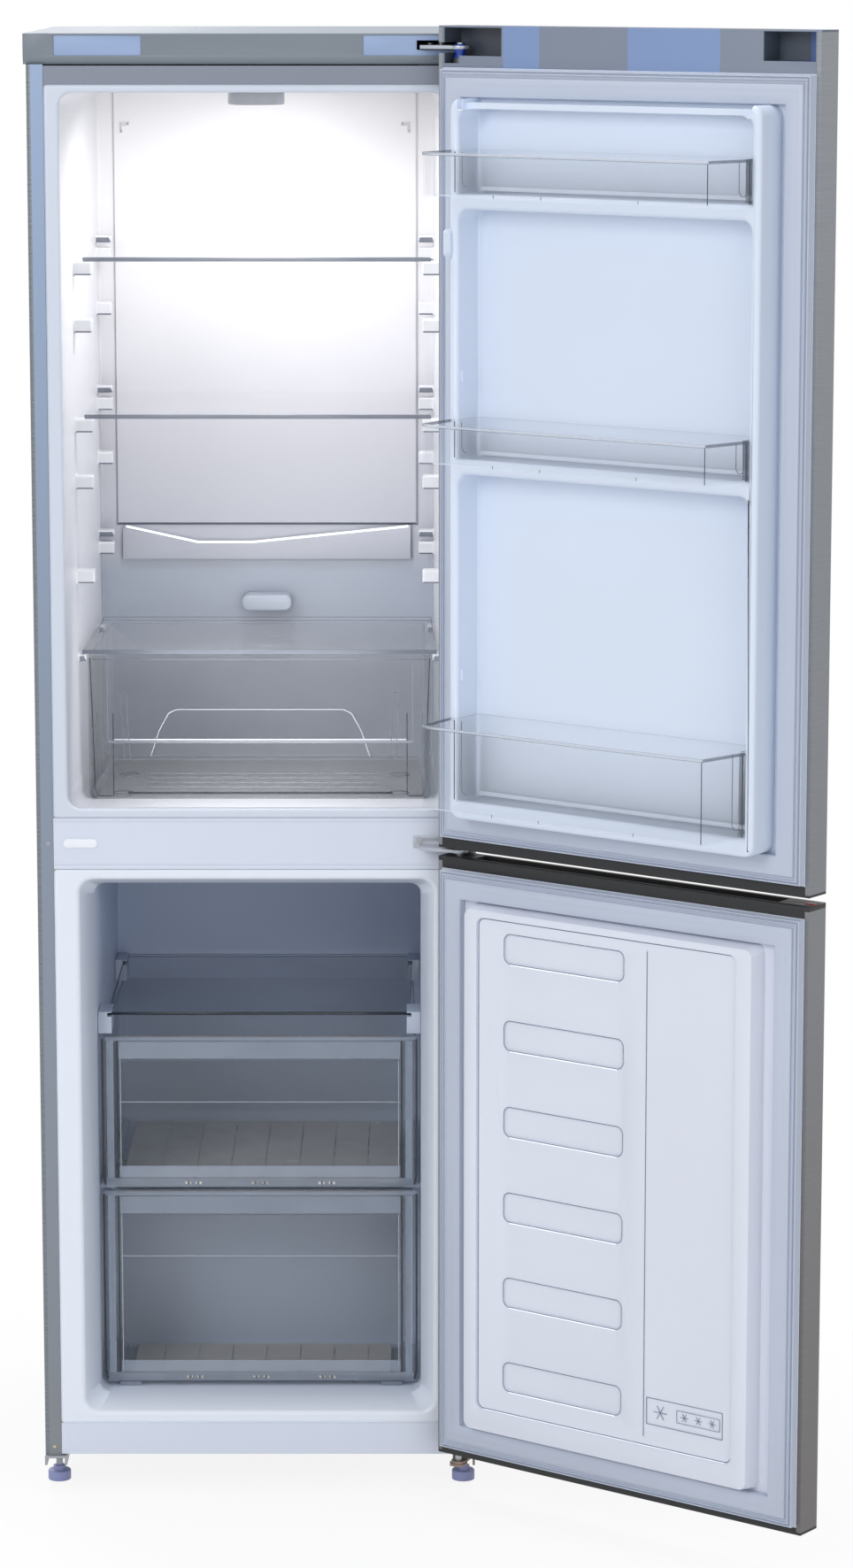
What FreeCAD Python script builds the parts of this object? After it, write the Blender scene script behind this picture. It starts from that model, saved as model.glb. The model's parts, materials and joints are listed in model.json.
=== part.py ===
"""Two-door fridge freezer: steel cabinet, liners, foam, hinged doors, shelves, drawers and cooling circuit.

X runs to the hinge side, Y runs to the back, Z runs up. X = 0 is the middle of the cabinet,
Y = 0 is its front face and Z = 0 is the floor. Both doors stand open.
"""
import FreeCAD, Part
import math
import os

V = FreeCAD.Vector

# Whole appliance
cabinet_width = 545.0
cabinet_depth = 520.0
cabinet_bottom = 45.6
cabinet_height = 1744.0
cabinet_top = cabinet_bottom + cabinet_height
sheet = 1.0
liner_wall = 1.5
overrun = 2.0
half_width = cabinet_width / 2
seat_gap = 0.3
running_gap = 0.05

# Cabinet front, from the floor up
front_corner_radius = 6.0
flange_width = 20.9
flange_inner_x = half_width - flange_width
frame_inset = 0.4
frame_half = flange_inner_x - frame_inset
plinth_rise = 1.2
plinth_bottom = cabinet_bottom + plinth_rise
plinth_height = 40.8
plinth_top = plinth_bottom + plinth_height
freezer_part_share = 0.4339
mullion_bottom = cabinet_bottom + cabinet_height * freezer_part_share
mullion_height = 64.2
mullion_top = mullion_bottom + mullion_height
panel_drop = 1.6
panel_top = cabinet_top - panel_drop
rail_height = 22.0
rail_bottom = panel_top - rail_height
frame_depth = 2.0

# Fridge space
fridge_side = 39.5
fridge_front_half = half_width - fridge_side
fridge_taper = 13.0
fridge_back_half = fridge_front_half - fridge_taper
fridge_sill = 11.7
fridge_bottom = mullion_top + fridge_sill
fridge_header = 10.1
fridge_ceiling = rail_bottom - fridge_header
fridge_height = fridge_ceiling - fridge_bottom
fridge_ceiling_fall = 3.9
fridge_floor_drop = 16.2
fridge_floor = fridge_bottom - fridge_floor_drop
fridge_lip_depth = 14.0
fridge_back_foam = 42.0
fridge_back = cabinet_depth - fridge_back_foam
fridge_corner = 17.0
floor_inset = 3.0
fridge_floor_half = fridge_front_half - floor_inset
floor_back_inset = 1.0
fridge_floor_back_half = fridge_back_half - floor_back_inset
back_panel_side = 21.5
back_panel_half = fridge_back_half - back_panel_side
back_panel_sill = 297.8
back_panel_bottom = fridge_bottom + back_panel_sill
back_panel_header = 10.9
back_panel_top = fridge_ceiling - back_panel_header
back_panel_rise = 3.0

# Freezer space
freezer_side = 51.0
freezer_front_half = half_width - freezer_side
freezer_reveal_width = 17.5
freezer_half = freezer_front_half - freezer_reveal_width
freezer_taper = 2.0
freezer_back_half = freezer_half - freezer_taper
freezer_sill = 13.9
freezer_bottom = plinth_top + freezer_sill
freezer_floor_rise = 16.5
freezer_floor = freezer_bottom + freezer_floor_rise
freezer_header = 12.3
freezer_top = mullion_bottom - freezer_header
freezer_ceiling_drop = 12.0
freezer_ceiling = freezer_top - freezer_ceiling_drop
freezer_reveal_depth = 35.0
freezer_corner = 18.0
freezer_inner_corner = 14.0
freezer_back_foam = 80.0
freezer_back = cabinet_depth - freezer_back_foam
freezer_step_depth = 200.0
freezer_low_back = freezer_back - freezer_step_depth
freezer_step_rise = 212.0
freezer_step = freezer_floor + freezer_step_rise
freezer_low_overlap = 14.0

# Machine space at the back
niche_depth = 190.0
niche_front = cabinet_depth - niche_depth
niche_height = 224.4
niche_top = cabinet_bottom + niche_height

# Hinge line and doors
pin_inset = 18.5
pin_depth = 18.0
door_inset = 2.5
door_width = cabinet_width - door_inset * 2
door_gap = 12.0
door_thickness = 39.0
door_open_angle = 143.0
door_edge_radius = 4.0
door_inner_y = -door_gap
door_hinge_x = half_width - door_inset
pin_x = door_hinge_x - pin_inset
pin_y = door_inner_y - pin_depth
pin_radius = 4.0
pin_bore = pin_radius + running_gap
pin_boss_radius = 8.0
door_flange = 6.0

fridge_door_rise = 37.7
fridge_door_bottom = mullion_bottom + fridge_door_rise
fridge_door_lead = 44.4
fridge_door_top = cabinet_top + fridge_door_lead
freezer_door_rise = 18.9
freezer_door_bottom = cabinet_bottom + freezer_door_rise
door_split = 19.5
freezer_door_top = fridge_door_bottom - door_split

nodes = []


def save(name, shape):
    """Write one named sub-part."""
    shape.exportStep("parts/" + name + ".step")
    nodes.append(name)
    solids = shape.Solids
    print(name, len(solids), "solids", round(shape.Volume), "valid", shape.isValid())


def box(x0, x1, y0, y1, z0, z1):
    return Part.makeBox(x1 - x0, y1 - y0, z1 - z0, V(x0, y0, z0))


def rod(radius, x, y, z0, z1):
    return Part.makeCylinder(radius, z1 - z0, V(x, y, z0))


def rod_x(radius, x0, x1, y, z):
    return Part.makeCylinder(radius, x1 - x0, V(x0, y, z), V(1, 0, 0))


def rod_y(radius, x, y0, y1, z):
    return Part.makeCylinder(radius, y1 - y0, V(x, y0, z), V(0, 1, 0))


def fuse(shapes):
    first = shapes[0]
    if len(shapes) == 1:
        return first
    return first.fuse(shapes[1:]).removeSplitter()


def mirror(shape):
    return shape.mirror(V(0, 0, 0), V(1, 0, 0))


def rounded(solid, radius, direction):
    """Round the edges of a box that run along a direction."""
    wanted = []
    for edge in solid.Edges:
        run = edge.Vertexes[1].Point.sub(edge.Vertexes[0].Point)
        run.normalize()
        if abs(run.dot(direction)) > math.cos(math.radians(1)):
            wanted.append(edge)
    return solid.makeFillet(radius, wanted)


def block_y(x0, x1, y0, y1, z0, z1, radius):
    """A box with its four edges along Y rounded."""
    return rounded(box(x0, x1, y0, y1, z0, z1), radius, V(0, 1, 0))


def block_z(x0, x1, y0, y1, z0, z1, radius):
    """A box with its four edges along Z rounded."""
    return rounded(box(x0, x1, y0, y1, z0, z1), radius, V(0, 0, 1))


def ring(half, z0, z1, radius, y):
    """A rounded rectangle, centred on X = 0, standing at a depth Y."""
    profile = block_y(-half, half, y, y + overrun, z0, z1, radius)
    for face in profile.Faces:
        if abs(face.CenterOfMass.y - y) < running_gap:
            return face.OuterWire
    return None


def loft(first, last):
    return Part.makeLoft([first, last], True, True)


def prism(points, z0, z1):
    """Raise an outline of (x, y) points from z0 to z1."""
    corners = [V(x, y, z0) for x, y in points]
    face = Part.Face(Part.makePolygon(corners + [corners[0]]))
    return face.extrude(V(0, 0, z1 - z0))


def prism_y(points, y0, y1):
    """Push an outline of (x, z) points from y0 to y1."""
    corners = [V(x, y0, z) for x, z in points]
    face = Part.Face(Part.makePolygon(corners + [corners[0]]))
    return face.extrude(V(0, y1 - y0, 0))


def prism_x(points, x0, x1):
    """Push an outline of (y, z) points from x0 to x1."""
    corners = [V(x0, y, z) for y, z in points]
    face = Part.Face(Part.makePolygon(corners + [corners[0]]))
    return face.extrude(V(x1 - x0, 0, 0))


def tube(points, radius, bend):
    """A bent tube through points, with one bend radius at every corner."""
    edges = []
    start = points[0]
    for i in range(1, len(points) - 1):
        here = points[i]
        back = points[i - 1].sub(here)
        ahead = points[i + 1].sub(here)
        back.normalize()
        ahead.normalize()
        half_turn = math.acos(max(-1, min(1, back.dot(ahead)))) / 2
        reach = bend / math.tan(half_turn)
        tangent_in = here.add(V(back).multiply(reach))
        tangent_out = here.add(V(ahead).multiply(reach))
        middle = V(back).add(ahead)
        middle.normalize()
        centre = here.add(V(middle).multiply(bend / math.sin(half_turn)))
        crown = centre.sub(V(middle).multiply(bend))
        edges.append(Part.LineSegment(start, tangent_in).toShape())
        edges.append(Part.Arc(tangent_in, crown, tangent_out).toShape())
        start = tangent_out
    edges.append(Part.LineSegment(start, points[-1]).toShape())
    path = Part.Wire(edges)
    run = points[1].sub(points[0])
    profile = Part.Wire([Part.makeCircle(radius, points[0], run)])
    return path.makePipeShell([profile], True, False)


def screw(x, y, z, direction, head_radius, head_height, shank_radius, shank_length):
    """A pan-head screw whose head rises along a direction from the point."""
    head = Part.makeCylinder(head_radius, head_height, V(x, y, z), direction)
    shank = Part.makeCylinder(shank_radius, shank_length, V(x, y, z), V(direction).multiply(-1))
    return head.fuse(shank)


def fridge_space(grow):
    """The hollow of the fridge, grown by a wall all round."""
    main = loft(
        ring(fridge_front_half + grow, fridge_bottom - grow, fridge_ceiling + grow, fridge_corner + grow, 0),
        ring(fridge_back_half + grow, fridge_bottom - grow, fridge_ceiling - fridge_ceiling_fall + grow,
             fridge_corner + grow, fridge_back + grow))
    floor = loft(
        ring(fridge_floor_half + grow, fridge_floor - grow, fridge_bottom + fridge_corner * 2,
             fridge_corner / 2 + grow, fridge_lip_depth - grow),
        ring(fridge_floor_back_half + grow, fridge_floor - grow, fridge_bottom + fridge_corner * 2,
             fridge_corner / 2 + grow, fridge_back + grow))
    panel = box(-back_panel_half + grow, back_panel_half - grow, fridge_back - back_panel_rise + grow,
                fridge_back + grow + overrun, back_panel_bottom + grow, back_panel_top - grow)
    return main.fuse(floor).cut(panel).removeSplitter()


def freezer_space(grow):
    """The hollow of the freezer, grown by a wall all round."""
    reveal = loft(
        ring(freezer_front_half + grow, freezer_bottom - grow, freezer_top + grow, freezer_corner + grow, 0),
        ring(freezer_half + grow, freezer_floor - grow, freezer_ceiling + grow, freezer_inner_corner + grow,
             freezer_reveal_depth))
    upper = loft(
        ring(freezer_half + grow, freezer_step - grow, freezer_ceiling + grow, freezer_inner_corner + grow,
             freezer_reveal_depth),
        ring(freezer_back_half + grow, freezer_step - grow, freezer_ceiling + grow, freezer_inner_corner + grow,
             freezer_back + grow))
    low_top = freezer_step + freezer_low_overlap * 2
    lower = loft(
        ring(freezer_half + grow, freezer_floor - grow, low_top, freezer_inner_corner + grow,
             freezer_reveal_depth),
        ring(freezer_back_half + grow, freezer_floor - grow, low_top, freezer_inner_corner + grow,
             freezer_low_back + grow))
    return reveal.fuse([upper, lower]).removeSplitter()


def door_place(shape):
    """Swing a shape of the closed door to its open place."""
    turned = shape.copy()
    turned.rotate(V(pin_x, pin_y, 0), V(0, 0, 1), door_open_angle)
    return turned


def door_box(u0, u1, v0, v1, z0, z1):
    """A box in door measures: u from the hinge edge, v out of the inner face towards the cabinet."""
    return box(door_hinge_x - u1, door_hinge_x - u0, door_inner_y + v0, door_inner_y + v1, z0, z1)


def door_block(u0, u1, v0, v1, z0, z1, radius):
    return block_y(door_hinge_x - u1, door_hinge_x - u0, door_inner_y + v0, door_inner_y + v1, z0, z1, radius)


def door_prism(points, z0, z1):
    return prism([(door_hinge_x - u, door_inner_y + v) for u, v in points], z0, z1)


# Cabinet shell
back_flange = 20.0
cover_overhang = 2.9
cover_bottom = cabinet_top
cover_height = 36.9
cover_top = cover_bottom + cover_height
cover_wall = 3.0
cover_chamfer = 4.0
cover_chamfer_height = 7.7
cover_rear_corner = 40.0
cover_half = half_width + cover_overhang
insert_side = 34.1
insert_left_length = 105.4
insert_right_length = 104.0
insert_outer = half_width - insert_side
insert_inner_left = insert_outer - insert_left_length
insert_inner_right = insert_outer - insert_right_length
insert_rise = 10.2
insert_bottom = cover_bottom + insert_rise
insert_drop = 2.5
insert_top = cover_top - insert_drop
insert_depth = 2.0
insert_thickness = 1.0
insert_corner = 2.0
slot_left_inset = 73.2
slot_left = half_width - slot_left_inset
slot_right_inset = 10.5
slot_right = half_width - slot_right_inset
slot_rise = 17.1
slot_bottom = cover_bottom + slot_rise
hinge_slot_height = 11.4
slot_top = slot_bottom + hinge_slot_height
groove_width = 1.2
groove_depth = 0.6
groove_inset = 5.0
step_plate = 1.2
tray_rise = 10.4
tray_bottom = cabinet_bottom + tray_rise
tray_thickness = 2.0
rail_screw_hole_inset = 11.9
rail_screw_hole_x = half_width - rail_screw_hole_inset
rail_screw_hole_radius = 2.2
rail_screw_hole_rise = 10.4


def side_panel():
    """The right-hand steel side: one sheet with a rounded front edge and a flange at the front and the back."""
    outer = box(flange_inner_x - back_flange, half_width, 0, cabinet_depth, cabinet_bottom, cabinet_top)
    inner = box(flange_inner_x - back_flange - overrun, half_width - sheet, sheet, cabinet_depth - sheet,
                cabinet_bottom - overrun, cabinet_top + overrun)
    outer = round_corner(outer, half_width, 0, front_corner_radius)
    inner = round_corner(inner, half_width - sheet, sheet, front_corner_radius - sheet)
    shell = outer.cut(inner)
    trim = box(flange_inner_x - back_flange - overrun, flange_inner_x, -overrun, cabinet_depth / 2,
               cabinet_bottom - overrun, cabinet_top + overrun)
    hole = rod_y(rail_screw_hole_radius, rail_screw_hole_x, -overrun, sheet + overrun,
                 cabinet_bottom + rail_screw_hole_rise)
    return shell.cut([trim, hole])


def round_corner(solid, x, y, radius):
    """Round the one upright edge that stands at x, y."""
    wanted = []
    for edge in solid.Edges:
        middle = edge.CenterOfMass
        if abs(middle.x - x) < running_gap and abs(middle.y - y) < running_gap:
            wanted.append(edge)
    return solid.makeFillet(radius, wanted)


def make_shell():
    right = side_panel()
    save("side_panel_right", right)
    save("side_panel_left", mirror(right))
    back_half = half_width - sheet
    back_y = cabinet_depth - sheet
    back = box(-back_half, back_half, back_y - sheet, back_y, niche_top, panel_top - sheet)
    save("back_panel", back.cut(gland_shank_rod(gland_shank)))
    top = box(-back_half, back_half, front_corner_radius, back_y, panel_top - sheet, panel_top)
    neck = box(-frame_half, frame_half, 0, front_corner_radius, panel_top - sheet, panel_top)
    rail = box(-frame_half, frame_half, 0, frame_depth, rail_bottom, panel_top)
    save("top_panel", fuse([top, neck, rail]))
    plinth = box(-frame_half, frame_half, 0, frame_depth, plinth_bottom, plinth_top)
    foot_return = box(-frame_half, frame_half, 0, frame_depth + back_flange, plinth_bottom, plinth_bottom + sheet)
    save("plinth", fuse([plinth, foot_return]))


def make_cover():
    """The hollow plastic cover on top, with two recessed fields and the slot for the hinge in its front."""
    outer = box(-cover_half, cover_half, 0, cabinet_depth, cover_bottom, cover_top)
    outer = round_corner(outer, -cover_half, cabinet_depth, cover_rear_corner)
    outer = round_corner(outer, cover_half, cabinet_depth, cover_rear_corner)
    chamfer = prism_x([(-overrun, cover_bottom - overrun), (cover_chamfer, cover_bottom - overrun),
                       (cover_chamfer, cover_bottom), (0, cover_bottom + cover_chamfer_height),
                       (-overrun, cover_bottom + cover_chamfer_height)], -cover_half - overrun, cover_half + overrun)
    hollow = box(-cover_half + cover_wall, cover_half - cover_wall, cover_chamfer + cover_wall,
                 cabinet_depth - cover_wall, cover_bottom - overrun, cover_top - cover_wall)
    hollow = round_corner(hollow, -cover_half + cover_wall, cabinet_depth - cover_wall,
                          cover_rear_corner - cover_wall)
    hollow = round_corner(hollow, cover_half - cover_wall, cabinet_depth - cover_wall,
                          cover_rear_corner - cover_wall)
    field_left = block_y(-insert_outer, -insert_inner_left, -overrun, insert_depth, insert_bottom, insert_top,
                         insert_corner)
    field_right = block_y(insert_inner_right, insert_outer, -overrun, insert_depth, insert_bottom, insert_top,
                          insert_corner)
    slot = box(slot_left, slot_right, -overrun, cover_chamfer + cover_wall + overrun, slot_bottom, slot_top)
    cover = outer.cut([chamfer, hollow, field_left, field_right, slot])
    save("top_cover", cover)
    plate_y = insert_depth - insert_thickness
    left = block_y(-insert_outer, -insert_inner_left, plate_y, insert_depth, insert_bottom, insert_top, insert_corner)
    right = block_y(insert_inner_right, insert_outer, plate_y, insert_depth, insert_bottom, insert_top, insert_corner)
    save("top_cover_inserts", Part.makeCompound([left, right.cut(slot)]))


# Mullion between the two spaces, and the middle hinge on it
plug_inset = 33.6
plug_left = plug_inset - half_width
plug_length = 42.0
plug_right = plug_left + plug_length
plug_lift = 32.4
plug_z = mullion_bottom + plug_lift
plug_height = 11.0
plug_rise = 1.5
mid_plate_lift = 27.2
mid_plate_bottom = mullion_bottom + mid_plate_lift
hinge_plate_thickness = 4.0
mid_plate_top = mid_plate_bottom + hinge_plate_thickness
hinge_plate_inset = 31.5
hinge_plate_width = 38.0
hinge_plate_right = half_width - hinge_plate_inset
hinge_plate_left = hinge_plate_right - hinge_plate_width
mid_flange_lead = 8.4
mid_flange_left = hinge_plate_left - mid_flange_lead
mid_flange_shortfall = 2.0
mid_flange_right = hinge_plate_right - mid_flange_shortfall
mid_flange_height = 14.5
mid_flange_top = mid_plate_bottom + mid_flange_height
mid_flange_thickness = 1.6
hinge_nose = 11.0
hinge_nose_side_share = 0.87
mid_screw_inset = 7.7
mid_screw_x = mid_flange_left + mid_screw_inset
mid_screw_pitch = 28.0
machine_screw = 2.0
screw_hole = machine_screw + running_gap
machine_screw_head = 4.4
mid_screw_z = mid_plate_top + machine_screw_head + seat_gap
machine_screw_head_height = 2.0
flat_screw_head_height = 0.5
machine_screw_length = 12.0
rivet_inset = 6.2
rivet_x = flange_inner_x + rivet_inset
rivet_head = 3.0
rivet_rise = 1.0


def make_mullion():
    panel = box(-frame_half, frame_half, 0, frame_depth, mullion_bottom, mullion_top)
    grooves = []
    for z in (mullion_bottom + groove_inset, mullion_top - groove_inset):
        grooves.append(box(-frame_half - overrun, frame_half + overrun, -overrun, groove_depth, z, z + groove_width))
    holes = []
    for x in (mid_screw_x, mid_screw_x + mid_screw_pitch):
        holes.append(rod_y(screw_hole, x, -overrun, frame_depth + overrun, mid_screw_z))
    save("mullion_panel", panel.cut(grooves + holes))
    radius = plug_height / 2
    body = box(plug_left + radius, plug_right - radius, -plug_rise, 0, plug_z - radius, plug_z + radius)
    ends = [rod_y(radius, plug_left + radius, -plug_rise, 0, plug_z),
            rod_y(radius, plug_right - radius, -plug_rise, 0, plug_z)]
    save("mullion_plug", fuse([body] + ends))


def hinge_arm(left, right, back_y, z0, z1):
    """A flat hinge arm: a plate that narrows to a round nose about the hinge line, with the pin hole in it."""
    neck = prism([(left, back_y), (right, back_y), (right, 0), (pin_x + hinge_nose * hinge_nose_side_share,
                 pin_y + hinge_nose / 2), (pin_x, pin_y - hinge_nose), (pin_x - hinge_nose, pin_y - hinge_nose / 2),
                 (left, pin_y + hinge_nose)], z0, z1)
    nose = rod(hinge_nose, pin_x, pin_y, z0, z1)
    hole = rod(pin_bore, pin_x, pin_y, z0 - overrun, z1 + overrun)
    return fuse([neck, nose]).cut(hole)


# Top hinge
top_plate_rise = 18.9
top_plate_bottom = cover_bottom + top_plate_rise
top_plate_top = top_plate_bottom + hinge_plate_thickness
top_plate_back = 70.0
top_block_front = 20.0
bush_collar_height = 3.5
bush_collar_bottom = top_plate_bottom - bush_collar_height
bush_stem_height = 3.5
bush_stem_bottom = bush_collar_bottom - bush_stem_height
bush_nub_height = 2.0
bush_nub_top = top_plate_top + bush_nub_height
bush_collar_radius = 7.4
bush_stem_radius = 6.0
bush_nub_radius = 6.4
washer_radius = 7.0
washer_thickness = 2.6
washer_top = bush_stem_bottom - seat_gap
washer_bottom = washer_top - washer_thickness
top_pin_drop = 28.5
top_pin_bottom = top_plate_bottom - top_pin_drop
top_pin_rise = 3.5
top_pin_top = top_plate_top + top_pin_rise
mid_pin_drop = 17.5
mid_pin_bottom = mid_plate_bottom - mid_pin_drop
mid_pin_rise = 18.5
mid_pin_top = mid_plate_top + mid_pin_rise
low_pin_drop = 2.6
low_pin_bottom = cabinet_bottom - low_pin_drop
low_pin_rise = 30.4
low_pin_top = cabinet_bottom + low_pin_rise

# Lower hinge and foot brackets
channel_width = 28.1
channel_left = half_width - channel_width
channel_lead = 5.5
channel_back = 70.0
channel_height = 12.0
channel_bottom = cabinet_bottom - channel_height
channel_wall = 3.0
riser_height = 3.2
riser_top = cabinet_bottom + riser_height
riser_radius = 9.0
foot_inset = 14.5
foot_x = half_width - foot_inset
foot_y = 45.0
foot_pad_radius = 14.5
foot_pad_height = 12.4
foot_stem_radius = 4.2
foot_stem_rise = 16.4
foot_stem_top = cabinet_bottom + foot_stem_rise
foot_hex_radius = 8.0
foot_hex_height = 6.0


def make_hinges():
    arm = hinge_arm(hinge_plate_left, hinge_plate_right, top_plate_back, top_plate_bottom, top_plate_top)
    block = box(hinge_plate_left, hinge_plate_right, top_block_front, top_plate_back, panel_top, top_plate_bottom)
    holes = []
    screws = []
    for y in (top_block_front + machine_screw_length, top_plate_back - machine_screw_length):
        for x in (hinge_plate_left + machine_screw_length, hinge_plate_right - machine_screw_length):
            holes.append(rod(screw_hole, x, y, panel_top - overrun, top_plate_top + overrun))
            screws.append(screw(x, y, top_plate_top, V(0, 0, 1), machine_screw_head, machine_screw_head_height,
                                machine_screw, machine_screw_length))
    save("top_hinge_plate", fuse([arm, block]).cut(holes))
    bore = rod(pin_bore, pin_x, pin_y, washer_bottom - overrun, bush_nub_top + overrun)
    stem = rod(bush_stem_radius, pin_x, pin_y, bush_stem_bottom, bush_collar_bottom)
    collar = rod(bush_collar_radius, pin_x, pin_y, bush_collar_bottom, top_plate_bottom)
    nub = rod(bush_nub_radius, pin_x, pin_y, top_plate_top, bush_nub_top)
    washer = rod(washer_radius, pin_x, pin_y, washer_bottom, washer_top)
    save("top_hinge_bush", Part.makeCompound([fuse([stem, collar]).cut(bore), nub.cut(bore), washer.cut(bore)]))

    mid_arm = hinge_arm(hinge_plate_left, hinge_plate_right, 0, mid_plate_bottom, mid_plate_top)
    flange = box(mid_flange_left, mid_flange_right, -mid_flange_thickness, 0, mid_plate_bottom, mid_flange_top)
    mid_holes = []
    for x in (mid_screw_x, mid_screw_x + mid_screw_pitch):
        mid_holes.append(rod_y(screw_hole, x, -mid_flange_thickness - overrun, overrun, mid_screw_z))
        screws.append(screw(x, -mid_flange_thickness, mid_screw_z, V(0, -1, 0), machine_screw_head,
                            flat_screw_head_height, machine_screw, machine_screw_length))
    save("middle_hinge_bracket", fuse([mid_arm, flange]).cut(mid_holes))

    channel = foot_channel()
    plate = hinge_arm(channel_left, half_width - channel_wall, 0, cabinet_bottom - channel_wall, cabinet_bottom)
    riser = rod(riser_radius, pin_x, pin_y, cabinet_bottom, riser_top)
    bore = rod(pin_bore, pin_x, pin_y, channel_bottom, riser_top + overrun)
    save("lower_hinge_bracket", fuse([channel, plate, riser]).cut(bore))

    pins = [rod(pin_radius, pin_x, pin_y, top_pin_bottom, top_pin_top),
            rod(pin_radius, pin_x, pin_y, mid_pin_bottom, mid_pin_top),
            rod(pin_radius, pin_x, pin_y, low_pin_bottom, low_pin_top)]
    save("hinge_pins", Part.makeCompound(pins))

    for x in (-rivet_x, rivet_x):
        screws.append(rod_y(rivet_head, x, -rivet_rise, 0, plug_z))
    save("cabinet_screws", Part.makeCompound(screws))


def foot_channel():
    """The folded bracket under the front corner that takes the foot's stem."""
    outer = box(channel_left, half_width, -channel_lead, channel_back, channel_bottom, cabinet_bottom)
    inner = box(channel_left + channel_wall, half_width - channel_wall, -channel_lead - overrun, channel_back +
                overrun, channel_bottom - overrun, cabinet_bottom - channel_wall)
    hole = rod(foot_stem_radius + running_gap, foot_x, foot_y, channel_bottom, cabinet_bottom + overrun)
    return outer.cut([inner, hole])


def make_feet():
    pad = rod(foot_pad_radius, foot_x, foot_y, 0, foot_pad_height)
    pad = pad.makeFillet(overrun, [edge for edge in pad.Edges if abs(edge.CenterOfMass.z - foot_pad_height) < sheet])
    nut_sides = 6
    corners = []
    for i in range(nut_sides):
        angle = 2 * math.pi * i / nut_sides
        corners.append((foot_x + foot_hex_radius * math.cos(angle), foot_y + foot_hex_radius * math.sin(angle)))
    nut = prism(corners, foot_pad_height, foot_pad_height + foot_hex_height)
    stem = rod(foot_stem_radius, foot_x, foot_y, foot_pad_height, foot_stem_top)
    foot = fuse([pad, nut, stem])
    save("front_foot_right", foot)
    save("front_foot_left", mirror(foot))


# Shelf levels, lugs and the fittings on the fridge walls
shelf_thickness = 5.5
shelf_side_gap = 3.0
shelf_half = fridge_back_half - shelf_side_gap
shelf_front = 144.0
shelf_back_gap = 23.0
shelf_back = fridge_back - shelf_back_gap
shelf_level_upper_share = 0.7611
shelf_level_upper = fridge_bottom + fridge_height * shelf_level_upper_share
shelf_level_second_share = 0.68
shelf_level_second = fridge_bottom + fridge_height * shelf_level_second_share
shelf_level_lower_share = 0.5378
shelf_level_lower = fridge_bottom + fridge_height * shelf_level_lower_share
shelf_level_fourth_share = 0.4567
shelf_level_fourth = fridge_bottom + fridge_height * shelf_level_fourth_share
shelf_level_fifth_share = 0.3211
shelf_level_fifth = fridge_bottom + fridge_height * shelf_level_fifth_share
lug_front = 140.0
lug_back_inset = 23.0
lug_back = shelf_back - lug_back_inset
lug_length = 24.0
lug_bite = 11.0
lug_reach = shelf_half - lug_bite
lug_rear_bite = 16.5
lug_rear_reach = shelf_half - lug_rear_bite
lug_height = 17.0
lug_slope = 5.0
stop_height = 9.0
crisper_rise = 174.0
crisper_level = fridge_bottom + crisper_rise
crisper_glass_front = 150.0
crisper_back_gap = 26.0
crisper_glass_back = fridge_back - crisper_back_gap
crisper_glass_front_gap = 9.0
crisper_glass_front_half = fridge_front_half - crisper_glass_front_gap
crisper_glass_back_side_gap = 2.5
crisper_glass_back_half = fridge_back_half - crisper_glass_back_side_gap
crisper_lug_bite = 5.4
crisper_lug_reach = crisper_glass_front_half - crisper_lug_bite
crisper_rear_lug_bite = 5.5
crisper_rear_lug_reach = crisper_glass_back_half - crisper_rear_lug_bite
crisper_lug_height = 10.0
corner_mark = 10.0
corner_mark_width = 1.5
corner_mark_drop = 44.0
corner_mark_z = back_panel_top - corner_mark_drop

# Small parts in the fridge
lamp_half = 35.0
lamp_y = 160.0
lamp_height = 19.3
lamp_bottom = fridge_ceiling - lamp_height
lamp_depth_half = 30.0
gutter_depth = 7.0
gutter_drop = 46.6
gutter_bottom = back_panel_bottom - gutter_drop
gutter_left_inset = 28.7
gutter_left_half = fridge_back_half - gutter_left_inset
gutter_right_inset = 30.1
gutter_right_half = fridge_back_half - gutter_right_inset
gutter_valley_left = 92.9
gutter_valley_right = 17.8
gutter_left_rise = 41.1
gutter_valley_rise = 23.4
gutter_right_rise = 45.2
drain_x = -55.0
drain_rise = 10.6
drain_z = gutter_bottom + drain_rise
gutter_groove = 4.0
sensor_half = 33.0
sensor_rise = 11.4
sensor_bottom = crisper_level + sensor_rise
sensor_height = 21.4
sensor_top = sensor_bottom + sensor_height
sensor_depth = 38.0
sensor_front = fridge_back - sensor_depth


def wall_lug(y0, y1, top, height, reach):
    """A wedge on the right wall that carries the edge of a shelf."""
    return prism_x([(y0, top), (y1, top), (y1 - lug_slope, top - height), (y0 + lug_slope, top - height)],
                   reach, fridge_front_half + liner_wall)


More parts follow.
